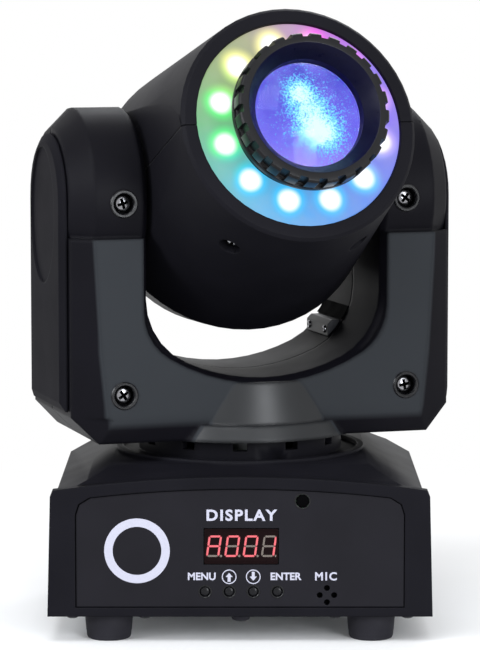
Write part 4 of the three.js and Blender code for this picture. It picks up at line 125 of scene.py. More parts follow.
# Display and its four slanted digits
DISPLAY_Z = 29.4
DISPLAY_WIDTH = 30.6
DISPLAY_HEIGHT = 14.7
DISPLAY_FACE = -73.9
DISPLAY_DEPTH = 7
DISPLAY_FILLET = 0.5
DISPLAY_LIP = 0.25
WINDOW_RIM = 0.7
WINDOW_FILLET = 0.4
WINDOW_SINK = 0.35
DIGIT_PITCH = 7.6
DIGIT_SHIFT = 0.1
DIGIT_HALF_HEIGHT = 4.1
DIGIT_HALF_WIDTH = 2.35
DIGIT_SLANT_SHARE = 0.14
SEGMENT_WIDTH = 0.78
SEGMENT_BACK = -0.38
SEGMENT_FRONT = -0.3
UPRIGHT_GAP = 0.25
LEVEL_GAP = 0.3
HAZE_SPREAD = 0.42
HAZE_BACK = -0.4
HAZE_FRONT = -0.33
POINT_GAP = 0.55
POINT_RADIUS = 0.5

# Finish of the yoke's plate faces, whose lighter colour is painted light, and of the skirt between them
PLATE_DEPTH_FROM = 37.6
PLATE_DEPTH_TO = 38.4
PLATE_TOP = 155.6
PLATE_TOP_FADE = 0.3
PLATE_ROUGHER = 0.05
CONE_DEPTH_FROM = 38.9
CONE_DEPTH_TO = 39.3
# Share of the painted lighter plate colour that the skirt takes
CONE_COLOUR_SHARE = 0.4
CONE_SMOOTHER = 0.17
CONE_SPECULAR = 0.34

# Depth of the grain of plastic and rubber and of the lines on metal
FINE_GRAIN_DEPTH = 0.06
COARSE_GRAIN_DEPTH = 0.05
RUBBER_GRAIN_DEPTH = 0.08
STREAK_DEPTH = 0.02

# Screws of the yoke's front cover
YOKE_HALF_DEPTH = 38.7
SCREW_X = 62.6
SCREW_SINK = 3.9

# Screws of the head's lower shell
HEAD_SCREW_LEAN = math.radians(32)
HEAD_SCREW_Y = -64
HEAD_SCREW_SEAT = 47.4

# Slot above the access block, and the block's screws
SLOT_FRONT = 0.6
SLOT_BACK = 33.5
BLOCK_FACE = 41.05
BLOCK_SCREW_Z = 110
BLOCK_SCREW_DEPTHS = (6, 27)

# Head radius, head height, shank radius and shank length of each kind of screw
YOKE_SCREW = (3.6, 2, 1.5, 15)
SHELL_SCREW = (3.2, 4.2, 1.0, 0.6)
BLOCK_SCREW = (1.7, 1.0, 0.8, 0.5)
PLATE_SCREW = (2.8, 2.3, 1.0, 1.2)

# Dome and cross recess of a screw, as shares of its head
DOME_EDGE_SHARE = 0.28
DOME_POWER = 0.8
DOME_STEPS = 8
CROSS_ARM_SHARE = 0.7
CROSS_WIDTH_SHARE = 0.19
CROSS_DEPTH_SHARE = 0.85
CROSS_FLOOR_SHARE = 0.55
CROSS_TOP_SHARE = 1.25
CROSS_RISE = 1
# Reach, bottom and sink of the painted shade in a screw's cross recess
SHADE_REACH_SHARE = 0.9
SHADE_BOTTOM = 0.05
SHADE_SINK = 0.14

# Light ring
DIFFUSER_FRONT = 87
DIFFUSER_BACK = 81.3
DIFFUSER_BORE = 27.2
DIFFUSER_RADIUS = 43.4
DIFFUSER_FILLET = 0.3
FLANGE_RADIUS = 46
FLANGE_FRONT = 85.7
FLANGE_PAINT_GAP = 0.2
GLOW_COUNT = 12
GLOW_CIRCLE = 34.4
GLOW_RIGHT = 0.9
GLOW_UP = 0.9
HALO_EDGE = 9.8
HALO_FULL = 4.2
CORE_EDGE = 6
CORE_FULL = 2.8
GLARE_EDGE = 8.5
GLARE_FULL = 3

# Focus ring
FOCUS_FRONT = 109.2
FOCUS_MOUTH = 27.6
FOCUS_RIM = 31.8
FOCUS_CHAMFER_WIDTH = 0.7
FOCUS_CHAMFER_DEPTH = 0.9
FOCUS_GROOVE = 30.5
FOCUS_GROOVE_BACK = 100.6
FOCUS_RIM_BACK = 98
FOCUS_BARREL = 26.8
FOCUS_BARREL_BACK = 88
FOCUS_TAIL = 24.6
FOCUS_TAIL_BACK = 70
FOCUS_BORE = 20.4
FOCUS_FILLET = 0.35
NOTCH_COUNT = 24
NOTCH_SHARE = 0.42
NOTCH_WALL_SHARE = 0.012
NOTCH_EDGE_SHARE = 0.1
NOTCH_FLOOR = 30.1
NOTCH_BACK = 101.6
NOTCH_BACK_GAP = 0.2
GLOSSY_BORE = 27.7

# Lens and the lit picture behind it
LENS_SEAT = 22.9
LENS_SEAT_BACK = 94.6
LENS_SEAT_FRONT = 102
LENS_RADIUS = 22.6
LENS_EDGE_BACK = 95.6
LENS_EDGE_FRONT = 98
LENS_CROWN = 102.4
LENS_RINGS = 14
BEAM_RADIUS = 22.7
BEAM_BACK = 94.7
BEAM_FRONT = 95.4
BEAM_HALF_HEIGHT = 21

# Places and reaches, across and up, of the bursts of specks in that picture
BEAM_HEART = (3, 0.5, 9.5, 10.5)
BEAM_ENDS = ((-2, 11, 6.5, 6.5), (6.5, -8, 9.5, 7.5))

# Underside of the base: half the distance between the screws of each row, and the row's place
PLATE_SCREW_ROWS = ((70, -66.6), (39.7, -66.6), (70, 40), (39.7, 60))
PLATE_SCREW_TURN = 0.4
PLUG_X = 0.3
PLUG_Y = -66

# Room
FLOOR = -11.6
FLOOR_SIZE = 6000
FADE_START = 100
FADE_END = 420
AMBIENT = 0.62
LAMP_COLOUR = (0.93, 0.96, 1.0)

# Name, place, aim, size and power of each lamp
LAMPS = (
    ("right_strip", (780, -1400, 420), (0, 0, 160), (500, 840), 16),
    ("front_top_box", (-150, -850, 1250), (0, 0, 100), (700, 500), 8),
    ("left_box", (-1000, -750, 620), (0, 0, 140), (300, 700), 10),
    ("back_box", (300, 1200, 1100), (0, 0, 120), (900, 600), 7),
)

# Sides of the turned pieces
DIFFUSER_SIDES = 144
LENS_SIDES = 96
FOOT_SIDES = 64
COLLAR_SIDES = 48
SMALL_SIDES = 40
POINT_SIDES = 12

# Rounding, cleaning and shading of the meshes
FILLET_REACH_SHARE = 0.45
STRAIGHT = math.radians(170)
PIECE_WELD = 0.001
SKIN_FIRST_WELD = 0.002
SKIN_LAST_WELD = 0.003
SKIN_FLAT = math.radians(0.8)
SKIN_EDGE = math.radians(24)
SKIN_SHORTEST_EDGE = 0.9
SKIN_BEVEL = 0.45
PIECE_SHARP = math.radians(32)
SKIN_SHARP = math.radians(38)
FOCUS_SHARP = math.radians(28)

# Frames of the moving bodies at rest
BASE = Matrix.Identity(4)
YOKE = Matrix.Rotation(PAN, 4, "Z")
HEAD = YOKE @ Matrix.Translation((0, 0, TILT_HEIGHT * MM)) @ Matrix.Rotation(-TILT, 4, "X")
# In this one +Z runs along the beam and +Y is the head's upper side
OPTIC = HEAD @ Matrix.Translation((0, 0, OPTIC_RISE * MM)) @ Matrix.Rotation(math.pi / 2, 4, "X")


# Camera

def add_camera():
    data = bpy.data.cameras.new("camera")
    data.sensor_width = SENSOR_WIDTH
    data.lens = SENSOR_WIDTH * FOCAL_SHARE
    data.clip_start = VIEW_START * MM
    data.clip_end = VIEW_END * MM
    camera = bpy.data.objects.new("camera", data)
    camera.location = (0, -CAMERA_DISTANCE * MM, CAMERA_HEIGHT * MM)
    camera.rotation_euler = (math.pi / 2 - CAMERA_PITCH, 0, 0)
    scene_objects.link(camera)
    bpy.context.scene.camera = camera


add_camera()
bpy.context.scene.view_settings.view_transform = "Standard"


# Colours, each as red, green, blue and opacity

def srgb(red, green, blue):
    """A screen colour, 0 to 255, as linear values."""
    parts = [c / 255 for c in (red, green, blue)]
    return tuple(p / 12.92 if p <= 0.04045 else ((p + 0.055) / 1.055) ** 2.4 for p in parts) + (1,)


def grey(level):
    return (level, level, level, 1)


def toned(colour, share):
    """The colour made lighter or darker."""
    return tuple(c * share for c in colour[:3]) + (1,)


# Materials

# Places of the factor, the two colours and the result among the sockets of a colour mix
MIX_INPUTS = (0, 6, 7)
MIX_RESULT = 2


class Surface:
    """A node material around one Principled shader, with short calls that add and join nodes."""

    def __init__(self, name):
        self.material = bpy.data.materials.new(name)
        self.material.use_nodes = True
        self.tree = self.material.node_tree
        self.shader = self.tree.nodes["Principled BSDF"]
        self.place = self.node("ShaderNodeTexCoord").outputs["Object"]

    def node(self, kind, **settings):
        made = self.tree.nodes.new(kind)
        for key, value in settings.items():
            setattr(made, key, value)
        return made

    def join(self, source, target):
        self.tree.links.new(source, target)

    def set(self, **values):
        for key, value in values.items():
            self.shader.inputs[key.replace("_", " ")].default_value = value

    def feed(self, socket, source):
        self.join(source, self.shader.inputs[socket])

    def axes(self):
        """The three coordinates of a point of the piece, by name."""
        parts = self.node("ShaderNodeSeparateXYZ")
        self.join(self.place, parts.inputs[0])
        return parts.outputs

    def noise(self, scale, detail=2, roughness=0.5, place=None):
        made = self.node("ShaderNodeTexNoise")
        made.inputs["Scale"].default_value = scale
        made.inputs["Detail"].default_value = detail
        made.inputs["Roughness"].default_value = roughness
        self.join(place or self.place, made.inputs["Vector"])
        return made.outputs["Fac"]

    def spread(self, source, low, high, to_low, to_high, smooth=False):
        """Maps the range from low to high onto another one."""
        made = self.node("ShaderNodeMapRange")
        if smooth:
            made.interpolation_type = "SMOOTHSTEP"
        self.join(source, made.inputs["Value"])
        limits = ("From Min", "From Max", "To Min", "To Max")
        for key, value in zip(limits, (low, high, to_low, to_high)):
            made.inputs[key].default_value = value
        return made.outputs["Result"]

    def math(self, operation, first, second=None):
        made = self.node("ShaderNodeMath", operation=operation)
        for slot, value in zip(made.inputs, (first, second)):
            if isinstance(value, (int, float)):
                slot.default_value = value
            elif value is not None:
                self.join(value, slot)
        return made.outputs[0]

    def squares(self, x, y):
        """The sum of two squares."""
        return self.math("ADD", self.math("MULTIPLY", x, x), self.math("MULTIPLY", y, y))

    def blend(self, share, first, second):
        made = self.node("ShaderNodeMix", data_type="RGBA")
        for place, value in zip(MIX_INPUTS, (share, first, second)):
            if isinstance(value, (int, float, tuple)):
                made.inputs[place].default_value = value
            else:
                self.join(value, made.inputs[place])
        return made.outputs[MIX_RESULT]

    def ramp(self, source, stops):
        made = self.node("ShaderNodeValToRGB")
        elements = made.color_ramp.elements
        while len(elements) < len(stops):
            elements.new(0.5)
        for element, (place, colour) in zip(elements, stops):
            element.position = place
            element.color = colour
        self.join(source, made.inputs["Fac"])
        return made.outputs["Color"]

    def bump(self, height, strength, distance):
        made = self.node("ShaderNodeBump")
        made.inputs["Strength"].default_value = strength
        made.inputs["Distance"].default_value = distance * MM
        self.join(height, made.inputs["Height"])
        previous = self.shader.inputs["Normal"].links
        if previous:
            self.join(previous[0].from_socket, made.inputs["Normal"])
        self.join(made.outputs["Normal"], self.shader.inputs["Normal"])

    def edges(self, radius):
        """How near a point is to an edge, 0 to 1, and the normal with that edge rounded."""
        rounded = self.node("ShaderNodeBevel", samples=4)
        rounded.inputs["Radius"].default_value = radius * MM
        plain = self.node("ShaderNodeNewGeometry").outputs["Normal"]
        dot = self.node("ShaderNodeVectorMath", operation="DOT_PRODUCT")
        self.join(rounded.outputs[0], dot.inputs[0])
        self.join(plain, dot.inputs[1])
        return self.spread(dot.outputs["Value"], 0.995, 0.85, 0, 1), rounded.outputs[0]


def moulded(name, colour, edge_highlight, roughness, grain, specular=0.3, radius=0.45, plates_painted_light=None):
    """Injection-moulded plastic: fine spark-eroded grain, cloudy gloss, and smoother edges painted in a
    lighter colour as a highlight.

    With a lighter colour given for the yoke's flat plate faces, in front and behind, those faces are
    painted lighter as painted light and are rougher, and the skirt that stands proud of them takes a
    darker share of that painted colour and is glossier."""
    s = Surface(name)
    s.set(Specular_IOR_Level=specular)
    near, rounded = s.edges(radius)
    s.join(rounded, s.shader.inputs["Normal"])
    cloud = s.spread(s.noise(38, detail=3), 0.35, 0.65, 0, 1)
    tone = s.blend(cloud, colour, toned(colour, 1.2))
    matt = s.spread(s.noise(60, detail=4), 0.3, 0.7, roughness - 0.02, roughness + 0.03)
    if plates_painted_light:
        parts = s.axes()
        depth = s.math("ABSOLUTE", parts["Y"])
        top, bottom = PLATE_TOP + PLATE_TOP_FADE, PLATE_TOP - PLATE_TOP_FADE
        proud = s.spread(depth, PLATE_DEPTH_FROM * MM, PLATE_DEPTH_TO * MM, 0, 1)
        # Mask of the plate faces that are painted lighter, painted light
        flat = s.math("MULTIPLY", proud, s.spread(parts["Z"], top * MM, bottom * MM, 0, 1))
        cone = s.spread(depth, CONE_DEPTH_FROM * MM, CONE_DEPTH_TO * MM, 0, 1)
        tone = s.blend(cone, s.blend(flat, tone, plates_painted_light), toned(plates_painted_light, CONE_COLOUR_SHARE))
        rougher = s.math("MULTIPLY", flat, PLATE_ROUGHER)
        smoother = s.math("MULTIPLY", cone, CONE_SMOOTHER)
        matt = s.math("ADD", matt, s.math("SUBTRACT", rougher, smoother))
        s.feed("Specular IOR Level", s.spread(cone, 0, 1, specular, CONE_SPECULAR))
    # Near the edges the colour turns to the lighter edge colour, a painted highlight
    s.feed("Base Color", s.blend(s.math("MULTIPLY", near, 0.5), tone, edge_highlight))
    s.feed("Roughness", s.math("SUBTRACT", matt, s.math("MULTIPLY", near, 0.1)))
    s.bump(s.noise(1500, detail=2), grain, FINE_GRAIN_DEPTH)
    s.bump(s.noise(420, detail=1), grain * 0.5, COARSE_GRAIN_DEPTH)
    return s.material


def metal(name, colour, roughness, streak, stretch=(1, 1, 1)):
    """Bare metal with fine lines, drawn out along an axis where stretch says so."""
    s = Surface(name)
    s.set(Metallic=1.0)
    scaled = s.node("ShaderNodeVectorMath", operation="MULTIPLY")
    s.join(s.place, scaled.inputs[0])
    scaled.inputs[1].default_value = stretch
    lines = s.noise(500, detail=3, place=scaled.outputs[0])
    cloud = s.spread(s.noise(45, detail=4), 0.3, 0.7, 0, 1)
    s.feed("Base Color", s.blend(cloud, toned(colour, 0.72), colour))
    s.feed("Roughness", s.spread(lines, 0.3, 0.7, roughness - 0.05, roughness + 0.1))
    s.bump(lines, streak, STREAK_DEPTH)
    return s.material


def rubber(name, colour, specular=0.12):
    s = Surface(name)
    s.set(Specular_IOR_Level=specular)
    s.feed("Base Color", s.blend(s.noise(90, detail=3), colour, toned(colour, 1.6)))
    s.feed("Roughness", s.spread(s.noise(150, detail=3), 0.3, 0.7, 0.62, 0.78))
    s.bump(s.noise(900, detail=3), 0.35, RUBBER_GRAIN_DEPTH)
    return s.material


def board(name):
    """A green circuit board with paler lines."""
    s = Surface(name)
    copper = s.node("ShaderNodeTexBrick")
    copper.inputs["Scale"].default_value = 160
    copper.inputs["Mortar Size"].default_value = 0.02
    s.join(s.place, copper.inputs["Vector"])
    s.feed("Base Color", s.blend(copper.outputs["Fac"], (0.007, 0.05, 0.014, 1), (0.02, 0.11, 0.035, 1)))
    s.feed("Roughness", s.spread(s.noise(300), 0.3, 0.7, 0.35, 0.5))
    return s.material


def glossy(name, colour, roughness, specular=0.5):
    s = Surface(name)
    s.set(Specular_IOR_Level=specular)
    s.feed("Base Color", s.blend(s.noise(200, detail=3), colour, toned(colour, 1.5)))
    s.feed("Roughness", s.spread(s.noise(350, detail=2), 0.3, 0.7, roughness * 0.8, roughness * 1.3))
    return s.material


def printed(name, colour):
    """Screen-printed ink, with faint thin spots."""
    s = Surface(name)
    thin = s.spread(s.noise(2600, detail=2), 0.35, 0.5, 0.82, 1)
    s.feed("Base Color", s.blend(thin, toned(colour, 0.6), colour))
    s.feed("Roughness", s.spread(s.noise(900), 0.3, 0.7, 0.5, 0.65))
    return s.material


def lit(name, colour, strength, base):
    """A part of the display that gives off a slightly uneven light."""
    s = Surface(name)
    s.feed("Base Color", s.blend(s.noise(700), base, toned(base, 0.8)))
    s.set(Roughness=0.35, Emission_Strength=strength)
    s.feed("Emission Color", s.blend(s.noise(1100, detail=1), colour, toned(colour, 0.8)))
    return s.material


def polar(s, right, up):
    """Distance in millimetres from an axis beside the optical one, and the turn about it from 0 to 1."""
    parts = s.axes()
    x = s.math("SUBTRACT", parts["X"], right * MM)
    y = s.math("SUBTRACT", parts["Y"], up * MM)
    distance = s.math("MULTIPLY", s.math("SQRT", s.squares(x, y)), 1 / MM)
    turn = s.math("FRACT", s.math("DIVIDE", s.math("ARCTAN2", y, x), 2 * math.pi))
    return distance, turn


# Hues of the light ring and of its lamps, by the share of a turn from the right through the top
RING_HUES = [
    (0.0, srgb(146, 125, 250)),
    (0.1, srgb(152, 122, 250)),
    (0.2, srgb(215, 112, 232)),
    (0.25, srgb(200, 160, 200)),
    (0.33, srgb(178, 182, 142)),
    (0.4, srgb(160, 186, 128)),
    (0.5, srgb(116, 198, 138)),
    (0.58, srgb(102, 198, 190)),
    (0.66, srgb(96, 190, 240)),
    (0.76, srgb(90, 172, 250)),
    (0.86, srgb(108, 150, 252)),
    (0.95, srgb(132, 130, 251)),
    (1.0, srgb(146, 125, 250)),
]
SPOT_HUES = [
    (0.0, srgb(200, 170, 255)),
    (0.15, srgb(240, 120, 240)),
    (0.21, srgb(255, 90, 235)),
    (0.27, srgb(255, 245, 170)),
    (0.38, srgb(250, 250, 150)),
    (0.45, srgb(90, 245, 120)),
    (0.55, srgb(90, 245, 140)),
    (0.61, srgb(40, 200, 250)),
    (0.72, srgb(40, 190, 255)),
    (0.8, srgb(60, 190, 255)),
    (0.88, srgb(90, 200, 255)),
    (0.94, srgb(190, 180, 255)),
    (1.0, srgb(200, 170, 255)),
]
# Blues and violets of the picture behind the lens, by the share of its height from below
SEA_HUES = [
    (0, srgb(150, 130, 245)),
    (0.25, srgb(105, 95, 240)),
    (0.6, srgb(70, 62, 225)),
    (1, srgb(48, 50, 205)),
]


def ring_light(name):
    """A milky ring lit from behind by twelve lamps whose hues run round the rainbow."""
    s = Surface(name)
    distance, turn = polar(s, GLOW_RIGHT, GLOW_UP)
    sector = s.math("SUBTRACT", s.math("FRACT", s.math("MULTIPLY", turn, GLOW_COUNT)), 0.5)
    across = s.math("MULTIPLY", s.math("MULTIPLY", sector, 2 * math.pi / GLOW_COUNT), distance)
    along = s.math("SUBTRACT", distance, GLOW_CIRCLE)
    off = s.math("SQRT", s.squares(across, along))
    halo = s.spread(off, HALO_EDGE, HALO_FULL, 0, 1, smooth=True)
    core = s.spread(off, CORE_EDGE, CORE_FULL, 0, 1, smooth=True)
    haze = s.ramp(turn, RING_HUES)
    spot = s.ramp(turn, SPOT_HUES)
    cloudy = s.blend(s.spread(s.noise(170, detail=3), 0.3, 0.7, 0, 0.16), haze, grey(0.45))
    glow = s.blend(s.math("MULTIPLY", core, 0.96), s.blend(halo, cloudy, spot), grey(1))
    s.feed("Emission Color", glow)
    s.feed("Emission Strength", s.spread(off, GLARE_EDGE, GLARE_FULL, 0.8, 1.2, smooth=True))
    s.set(Specular_IOR_Level=0.2)
    # The body colour takes the hues of the ring's own light, painted light on the milky body
    s.feed("Base Color", s.blend(0.92, haze, grey(0.03)))
    s.feed("Roughness", s.spread(s.noise(300), 0.3, 0.7, 0.35, 0.5))
    return s.material


def beam_image(name):
    """The lit picture behind the lens: blue and violet, with bursts of fine pale specks."""
    s = Surface(name)
    parts = s.axes()
    across = s.math("MULTIPLY", parts["X"], 1 / MM)
    height = s.math("MULTIPLY", parts["Y"], 1 / MM)

    def burst(x, y, wide, tall):
        """A soft round patch, 1 in its middle."""
        dx = s.math("DIVIDE", s.math("SUBTRACT", across, x), wide)
        dy = s.math("DIVIDE", s.math("SUBTRACT", height, y), tall)
        return s.math("EXPONENT", s.math("MULTIPLY", s.squares(dx, dy), -1))

    def swing(source, amount):
        """A noise turned into one that swings about zero."""
        return s.math("MULTIPLY", s.math("SUBTRACT", source, 0.5), amount)

    ends = s.math("ADD", *(burst(*end) for end in BEAM_ENDS))
    cluster = s.math("ADD", burst(*BEAM_HEART), ends)
    wispy = s.noise(230, detail=6, roughness=0.75)
    specks = s.noise(1250, detail=3, roughness=0.8)
    dense = s.math("ADD", s.math("MULTIPLY", cluster, 1.2), swing(wispy, 1.5))
    grains = s.math("ADD", dense, swing(specks, 4.5))
    sea = s.ramp(s.spread(height, -BEAM_HALF_HEIGHT, BEAM_HALF_HEIGHT, 0, 1), SEA_HUES)
    drift = s.blend(s.spread(s.noise(90, detail=3), 0.4, 0.7, 0, 0.45), sea, srgb(130, 120, 250))
    foam = s.blend(s.spread(grains, 0.55, 0.8, 0, 1), drift, srgb(75, 205, 250))
    pale = s.blend(s.spread(grains, 0.95, 1.3, 0, 1), foam, srgb(150, 240, 255))
    white = s.spread(s.math("ADD", dense, swing(specks, 1.6)), 1.05, 1.75, 0, 1, smooth=True)
    s.feed("Emission Color", s.blend(white, pale, srgb(218, 255, 255)))
    s.feed("Emission Strength", s.spread(dense, 0.2, 1.4, 0.95, 1.1))
    s.set(Base_Color=(0.01, 0.01, 0.03, 1), Roughness=0.4)
    return s.material


def lens_glass(name):
    s = Surface(name)
    s.set(Transmission_Weight=1.0, IOR=1.18, Base_Color=(0.97, 0.97, 1, 1))
    s.feed("Roughness", s.spread(s.noise(120, detail=4), 0.3, 0.75, 0.0, 0.03))
    return s.material


MATERIALS = {
    "housing": moulded(
        "housing", (0.0066, 0.0064, 0.0088, 1), (0.0112, 0.0112, 0.0132, 1),
        roughness=0.48, grain=0.12, specular=0.05, radius=0.9,
    ),
    # The yoke's plate faces get a lighter colour here, which is painted light
    "housing_soft_painted_plates": moulded(
        "housing_soft_painted_plates", (0.0038, 0.0036, 0.0055, 1), (0.008, 0.008, 0.01, 1),
        roughness=0.48, grain=0.11, specular=0.06, radius=2.4, plates_painted_light=(0.0272, 0.0302, 0.0345, 1),
    ),
    "cover": moulded(
        "cover", (0.0064, 0.0062, 0.0085, 1), (0.012, 0.012, 0.014, 1),
        roughness=0.62, grain=0.14, specular=0.03, radius=1.2,
    ),
    "panel": moulded(
        "panel", (0.0088, 0.0084, 0.0112, 1), (0.012, 0.012, 0.0145, 1),
        roughness=0.46, grain=0.08, specular=0.1, radius=0.25,
    ),
    "block": moulded(
        "block", (0.02, 0.021, 0.025, 1), (0.04, 0.041, 0.046, 1),
        roughness=0.42, grain=0.1, specular=0.2, radius=0.5,
    ),
    "collar_matt": moulded(
        "collar_matt", (0.005, 0.005, 0.006, 1), (0.016, 0.016, 0.018, 1),
        roughness=0.32, grain=0.06, specular=0.2, radius=0.3,
    ),
    "component": moulded(
        "component", (0.007, 0.007, 0.0075, 1), grey(0.016),
        roughness=0.4, grain=0.1, specular=0.2, radius=0.3,
    ),
    "motor": moulded("motor", grey(0.012), grey(0.05), roughness=0.35, grain=0.1, specular=0.5),
    "foot": rubber("foot", (0.018, 0.0175, 0.022, 1)),
    "belt": rubber("belt", grey(0.006)),
    # Near-black and barely glossy: the sensor's own dark window, and painted shade in recesses, gaps and
    # openings
    "hole": rubber("hole", (0.0012, 0.0012, 0.0014, 1), specular=0.01),
    "button": glossy("button", (0.004, 0.004, 0.005, 1), roughness=0.3, specular=0.2),
    "collar": glossy("collar", (0.005, 0.005, 0.006, 1), roughness=0.25, specular=0.22),
    # The blue in the bore's colour is painted light from the lens; its gloss is real
    "bore_painted_blue": glossy("bore_painted_blue", (0.002, 0.002, 0.012, 1), roughness=0.34, specular=0.12),
    "display": glossy("display", (0.005, 0.0014, 0.0018, 1), roughness=0.14, specular=0.07),
    "segment_off": glossy("segment_off", srgb(100, 92, 86), roughness=0.5, specular=0.2),
    "segment_on": lit("segment_on", srgb(232, 62, 84), 0.9, (0.3, 0.1, 0.1, 1)),
    "segment_haze": lit("segment_haze", srgb(104, 10, 20), 0.7, (0.02, 0.003, 0.004, 1)),
    "ink": printed("ink", srgb(186, 186, 202)),
    "board": board("board"),
    "steel": metal("steel", (0.42, 0.43, 0.44, 1), 0.32, 0.3, stretch=(1, 8, 1)),
    "aluminium": metal("aluminium", (0.55, 0.56, 0.58, 1), 0.3, 0.25, stretch=(6, 1, 1)),
    "screw": metal("screw", (0.34, 0.34, 0.36, 1), 0.18, 0.12),
    "dark_screw": metal("dark_screw", (0.05, 0.05, 0.055, 1), 0.3, 0.1),
    "pin": metal("pin", (0.75, 0.68, 0.5, 1), 0.22, 0.1),
    "diffuser": ring_light("diffuser"),
    "lens": lens_glass("lens"),
    "beam": beam_image("beam"),
}


# Outlines and solids, in millimetres

def rectangle(x, y):
    return [(-x, -y), (x, -y), (x, y), (-x, y)]


def circle(x, y, radius, sides):
    turns = [2 * math.pi * i / sides for i in range(sides)]
    return [(x + radius * math.cos(turn), y + radius * math.sin(turn)) for turn in turns]


def grown(outline, by):
    """The outline with each corner moved away from its middle."""
    middle = Vector([sum(values) / len(outline) for values in zip(*outline)])
    return [tuple(Vector(p) + (Vector(p) - middle).normalized() * by) for p in outline]


def filleted(points, radius, steps=3, closed=False):
    """The outline with each corner rounded, as far as its shorter side allows."""
    made = []
    count = len(points)
    for i, point in enumerate(points):
        if not closed and i in (0, count - 1):
            made.append(point)
            continue
        here = Vector(point)
        before = Vector(points[i - 1]) - here
        after = Vector(points[(i + 1) % count]) - here
        turn = before.angle(after)
        if turn > STRAIGHT:
            made.append(point)
            continue
        longest = min(before.length, after.length) * FILLET_REACH_SHARE
        reach = min(radius / math.tan(turn / 2), longest)
        start = here + before.normalized() * reach
        end = here + after.normalized() * reach
        for n in range(steps + 1):
            t = n / steps
            made.append(tuple(start * (1 - t) ** 2 + here * 2 * t * (1 - t) + end * t**2))
    return made


def lathe(profile, sides, closed=False):
    """A turned body about +Z, whose profile gives radius and height from one pole to the other.

    A closed profile joins its end to its start."""
    verts, rows = [], []
    for radius, height in profile:
        if radius == 0:
            rows.append([len(verts)] * sides)
            verts.append((0, 0, height))
            continue
        rows.append(range(len(verts), len(verts) + sides))
        verts += [(x, y, height) for x, y in circle(0, 0, radius, sides)]
    pairs = list(zip(rows, rows[1:])) + ([(rows[-1], rows[0])] if closed else [])
    faces = []
    for low, high in pairs:
        for i in range(sides):
            j = (i + 1) % sides
            corners = [low[i], low[j], high[j], high[i]]
            faces.append([c for n, c in enumerate(corners) if c not in corners[:n]])
    return verts, [f for f in faces if len(f) > 2]


def loft(rings):
    """A closed body through rings that have the same number of points, with flat ends."""
    count, last = len(rings[0]), len(rings) - 1
    faces = [list(range(count))[::-1], list(range(last * count, (last + 1) * count))]
    for k in range(last):
        low, high = k * count, (k + 1) * count
        for i in range(count):
            j = (i + 1) % count
            faces.append([low + i, low + j, high + j, high + i])
    return [point for ring in rings for point in ring], faces


def prism(outline, low, high):
    """A closed prism over an outline in X and Y, from one height to another."""
    return loft([[(x, y, z) for x, y in outline] for z in (low, high)])


def merged(parts):
    """Several (verts, faces) pairs as one."""
    verts, faces = [], []
    for more, sides in parts:
        faces += [[i + len(verts) for i in face] for face in sides]
        verts += more
    return verts, faces


# Pieces

def towards(place, x, y, z):
    """A frame at a point of place whose +Z looks along place's -Y."""
    return place @ Matrix.Translation((x * MM, y * MM, z * MM)) @ Matrix.Rotation(math.pi / 2, 4, "X")


def add_piece(
    name, verts, faces, place, body, slot, look=None, replaced=(), sharp=PIECE_SHARP, smooth=True
):
    """Makes a mesh piece from millimetres in the frame called place, riding on a body."""
    mesh = bpy.data.meshes.new(name)
    mesh.from_pydata([tuple(c * MM for c in v) for v in verts], [], faces)
    mesh.validate()
    return finish_piece(name, mesh, place, body, slot, look, replaced, sharp, smooth)


def finish_piece(name, mesh, place, body, slot, look=None, replaced=(), sharp=PIECE_SHARP, smooth=True):
    if smooth:
        mesh.shade_smooth()
        mesh.set_sharp_from_angle(angle=sharp)
    mesh.materials.clear()
    mesh.materials.append(MATERIALS[look or slot])
    made = bpy.data.objects.new(name, mesh)
    scene_objects.link(made)
    made.matrix_world = place
    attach(made, body)
    if replaced:
        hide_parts(*replaced)
    return made


def clean(bm, within):
    """Joins corners that lie within some millimetres of each other and drops the faces that collapse."""
    bmesh.ops.remove_doubles(bm, verts=bm.verts, dist=within * MM)
    bmesh.ops.dissolve_degenerate(bm, dist=within * MM, edges=bm.edges)


def outward(piece):
    """Cleans a piece and turns its faces outwards."""
    bm = bmesh.new()
    bm.from_mesh(piece.data)
    clean(bm, PIECE_WELD)
    bmesh.ops.recalc_face_normals(bm, faces=bm.faces)
    bm.to_mesh(piece.data)
    bm.free()
    return piece


def paint(piece, look, chosen):
    """Gives a second look to the faces whose middle, in millimetres, is chosen."""
    piece.data.materials.append(MATERIALS[look])
    for face in piece.data.polygons:
        if chosen(face.center / MM):
            face.material_index = 1


def turned_piece(name, profile, sides, place, body, slot, look=None, replaced=(), closed=False):
    verts, faces = lathe(profile, sides, closed)
    return outward(add_piece(name, verts, faces, place, body, slot, look, replaced))


# Housings, as finer copies of their nodes

def add_skin(node, place, slot, look):
    """A copy of a node whose flat faces are joined and whose edges are rounded."""
    source = frame["nodes"][node]
    bm = bmesh.new()
    bm.from_mesh(source.data)
    bmesh.ops.remove_doubles(bm, verts=bm.verts, dist=SKIN_FIRST_WELD * MM)
    bmesh.ops.dissolve_limit(bm, angle_limit=SKIN_FLAT, verts=bm.verts, edges=bm.edges)
    bm.transform(place.inverted())
    bm.normal_update()
    chosen = [
        e for e in bm.edges
        if e.is_manifold and e.calc_face_angle() > SKIN_EDGE and e.calc_length() > SKIN_SHORTEST_EDGE * MM
    ]
    bmesh.ops.bevel(
        bm, geom=chosen, offset=SKIN_BEVEL * MM, offset_type="OFFSET", segments=2, profile=0.6,
        affect="EDGES", clamp_overlap=True, loop_slide=True,
    )
    clean(bm, SKIN_LAST_WELD)
    mesh = bpy.data.meshes.new(node + "_skin")
    bm.to_mesh(mesh)
    bm.free()
    made = finish_piece(node + "_skin", mesh, place, source["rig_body"], slot, look, (node,), SKIN_SHARP)
    weighted = made.modifiers.new("weighted", "WEIGHTED_NORMAL")
    weighted.keep_sharp = True


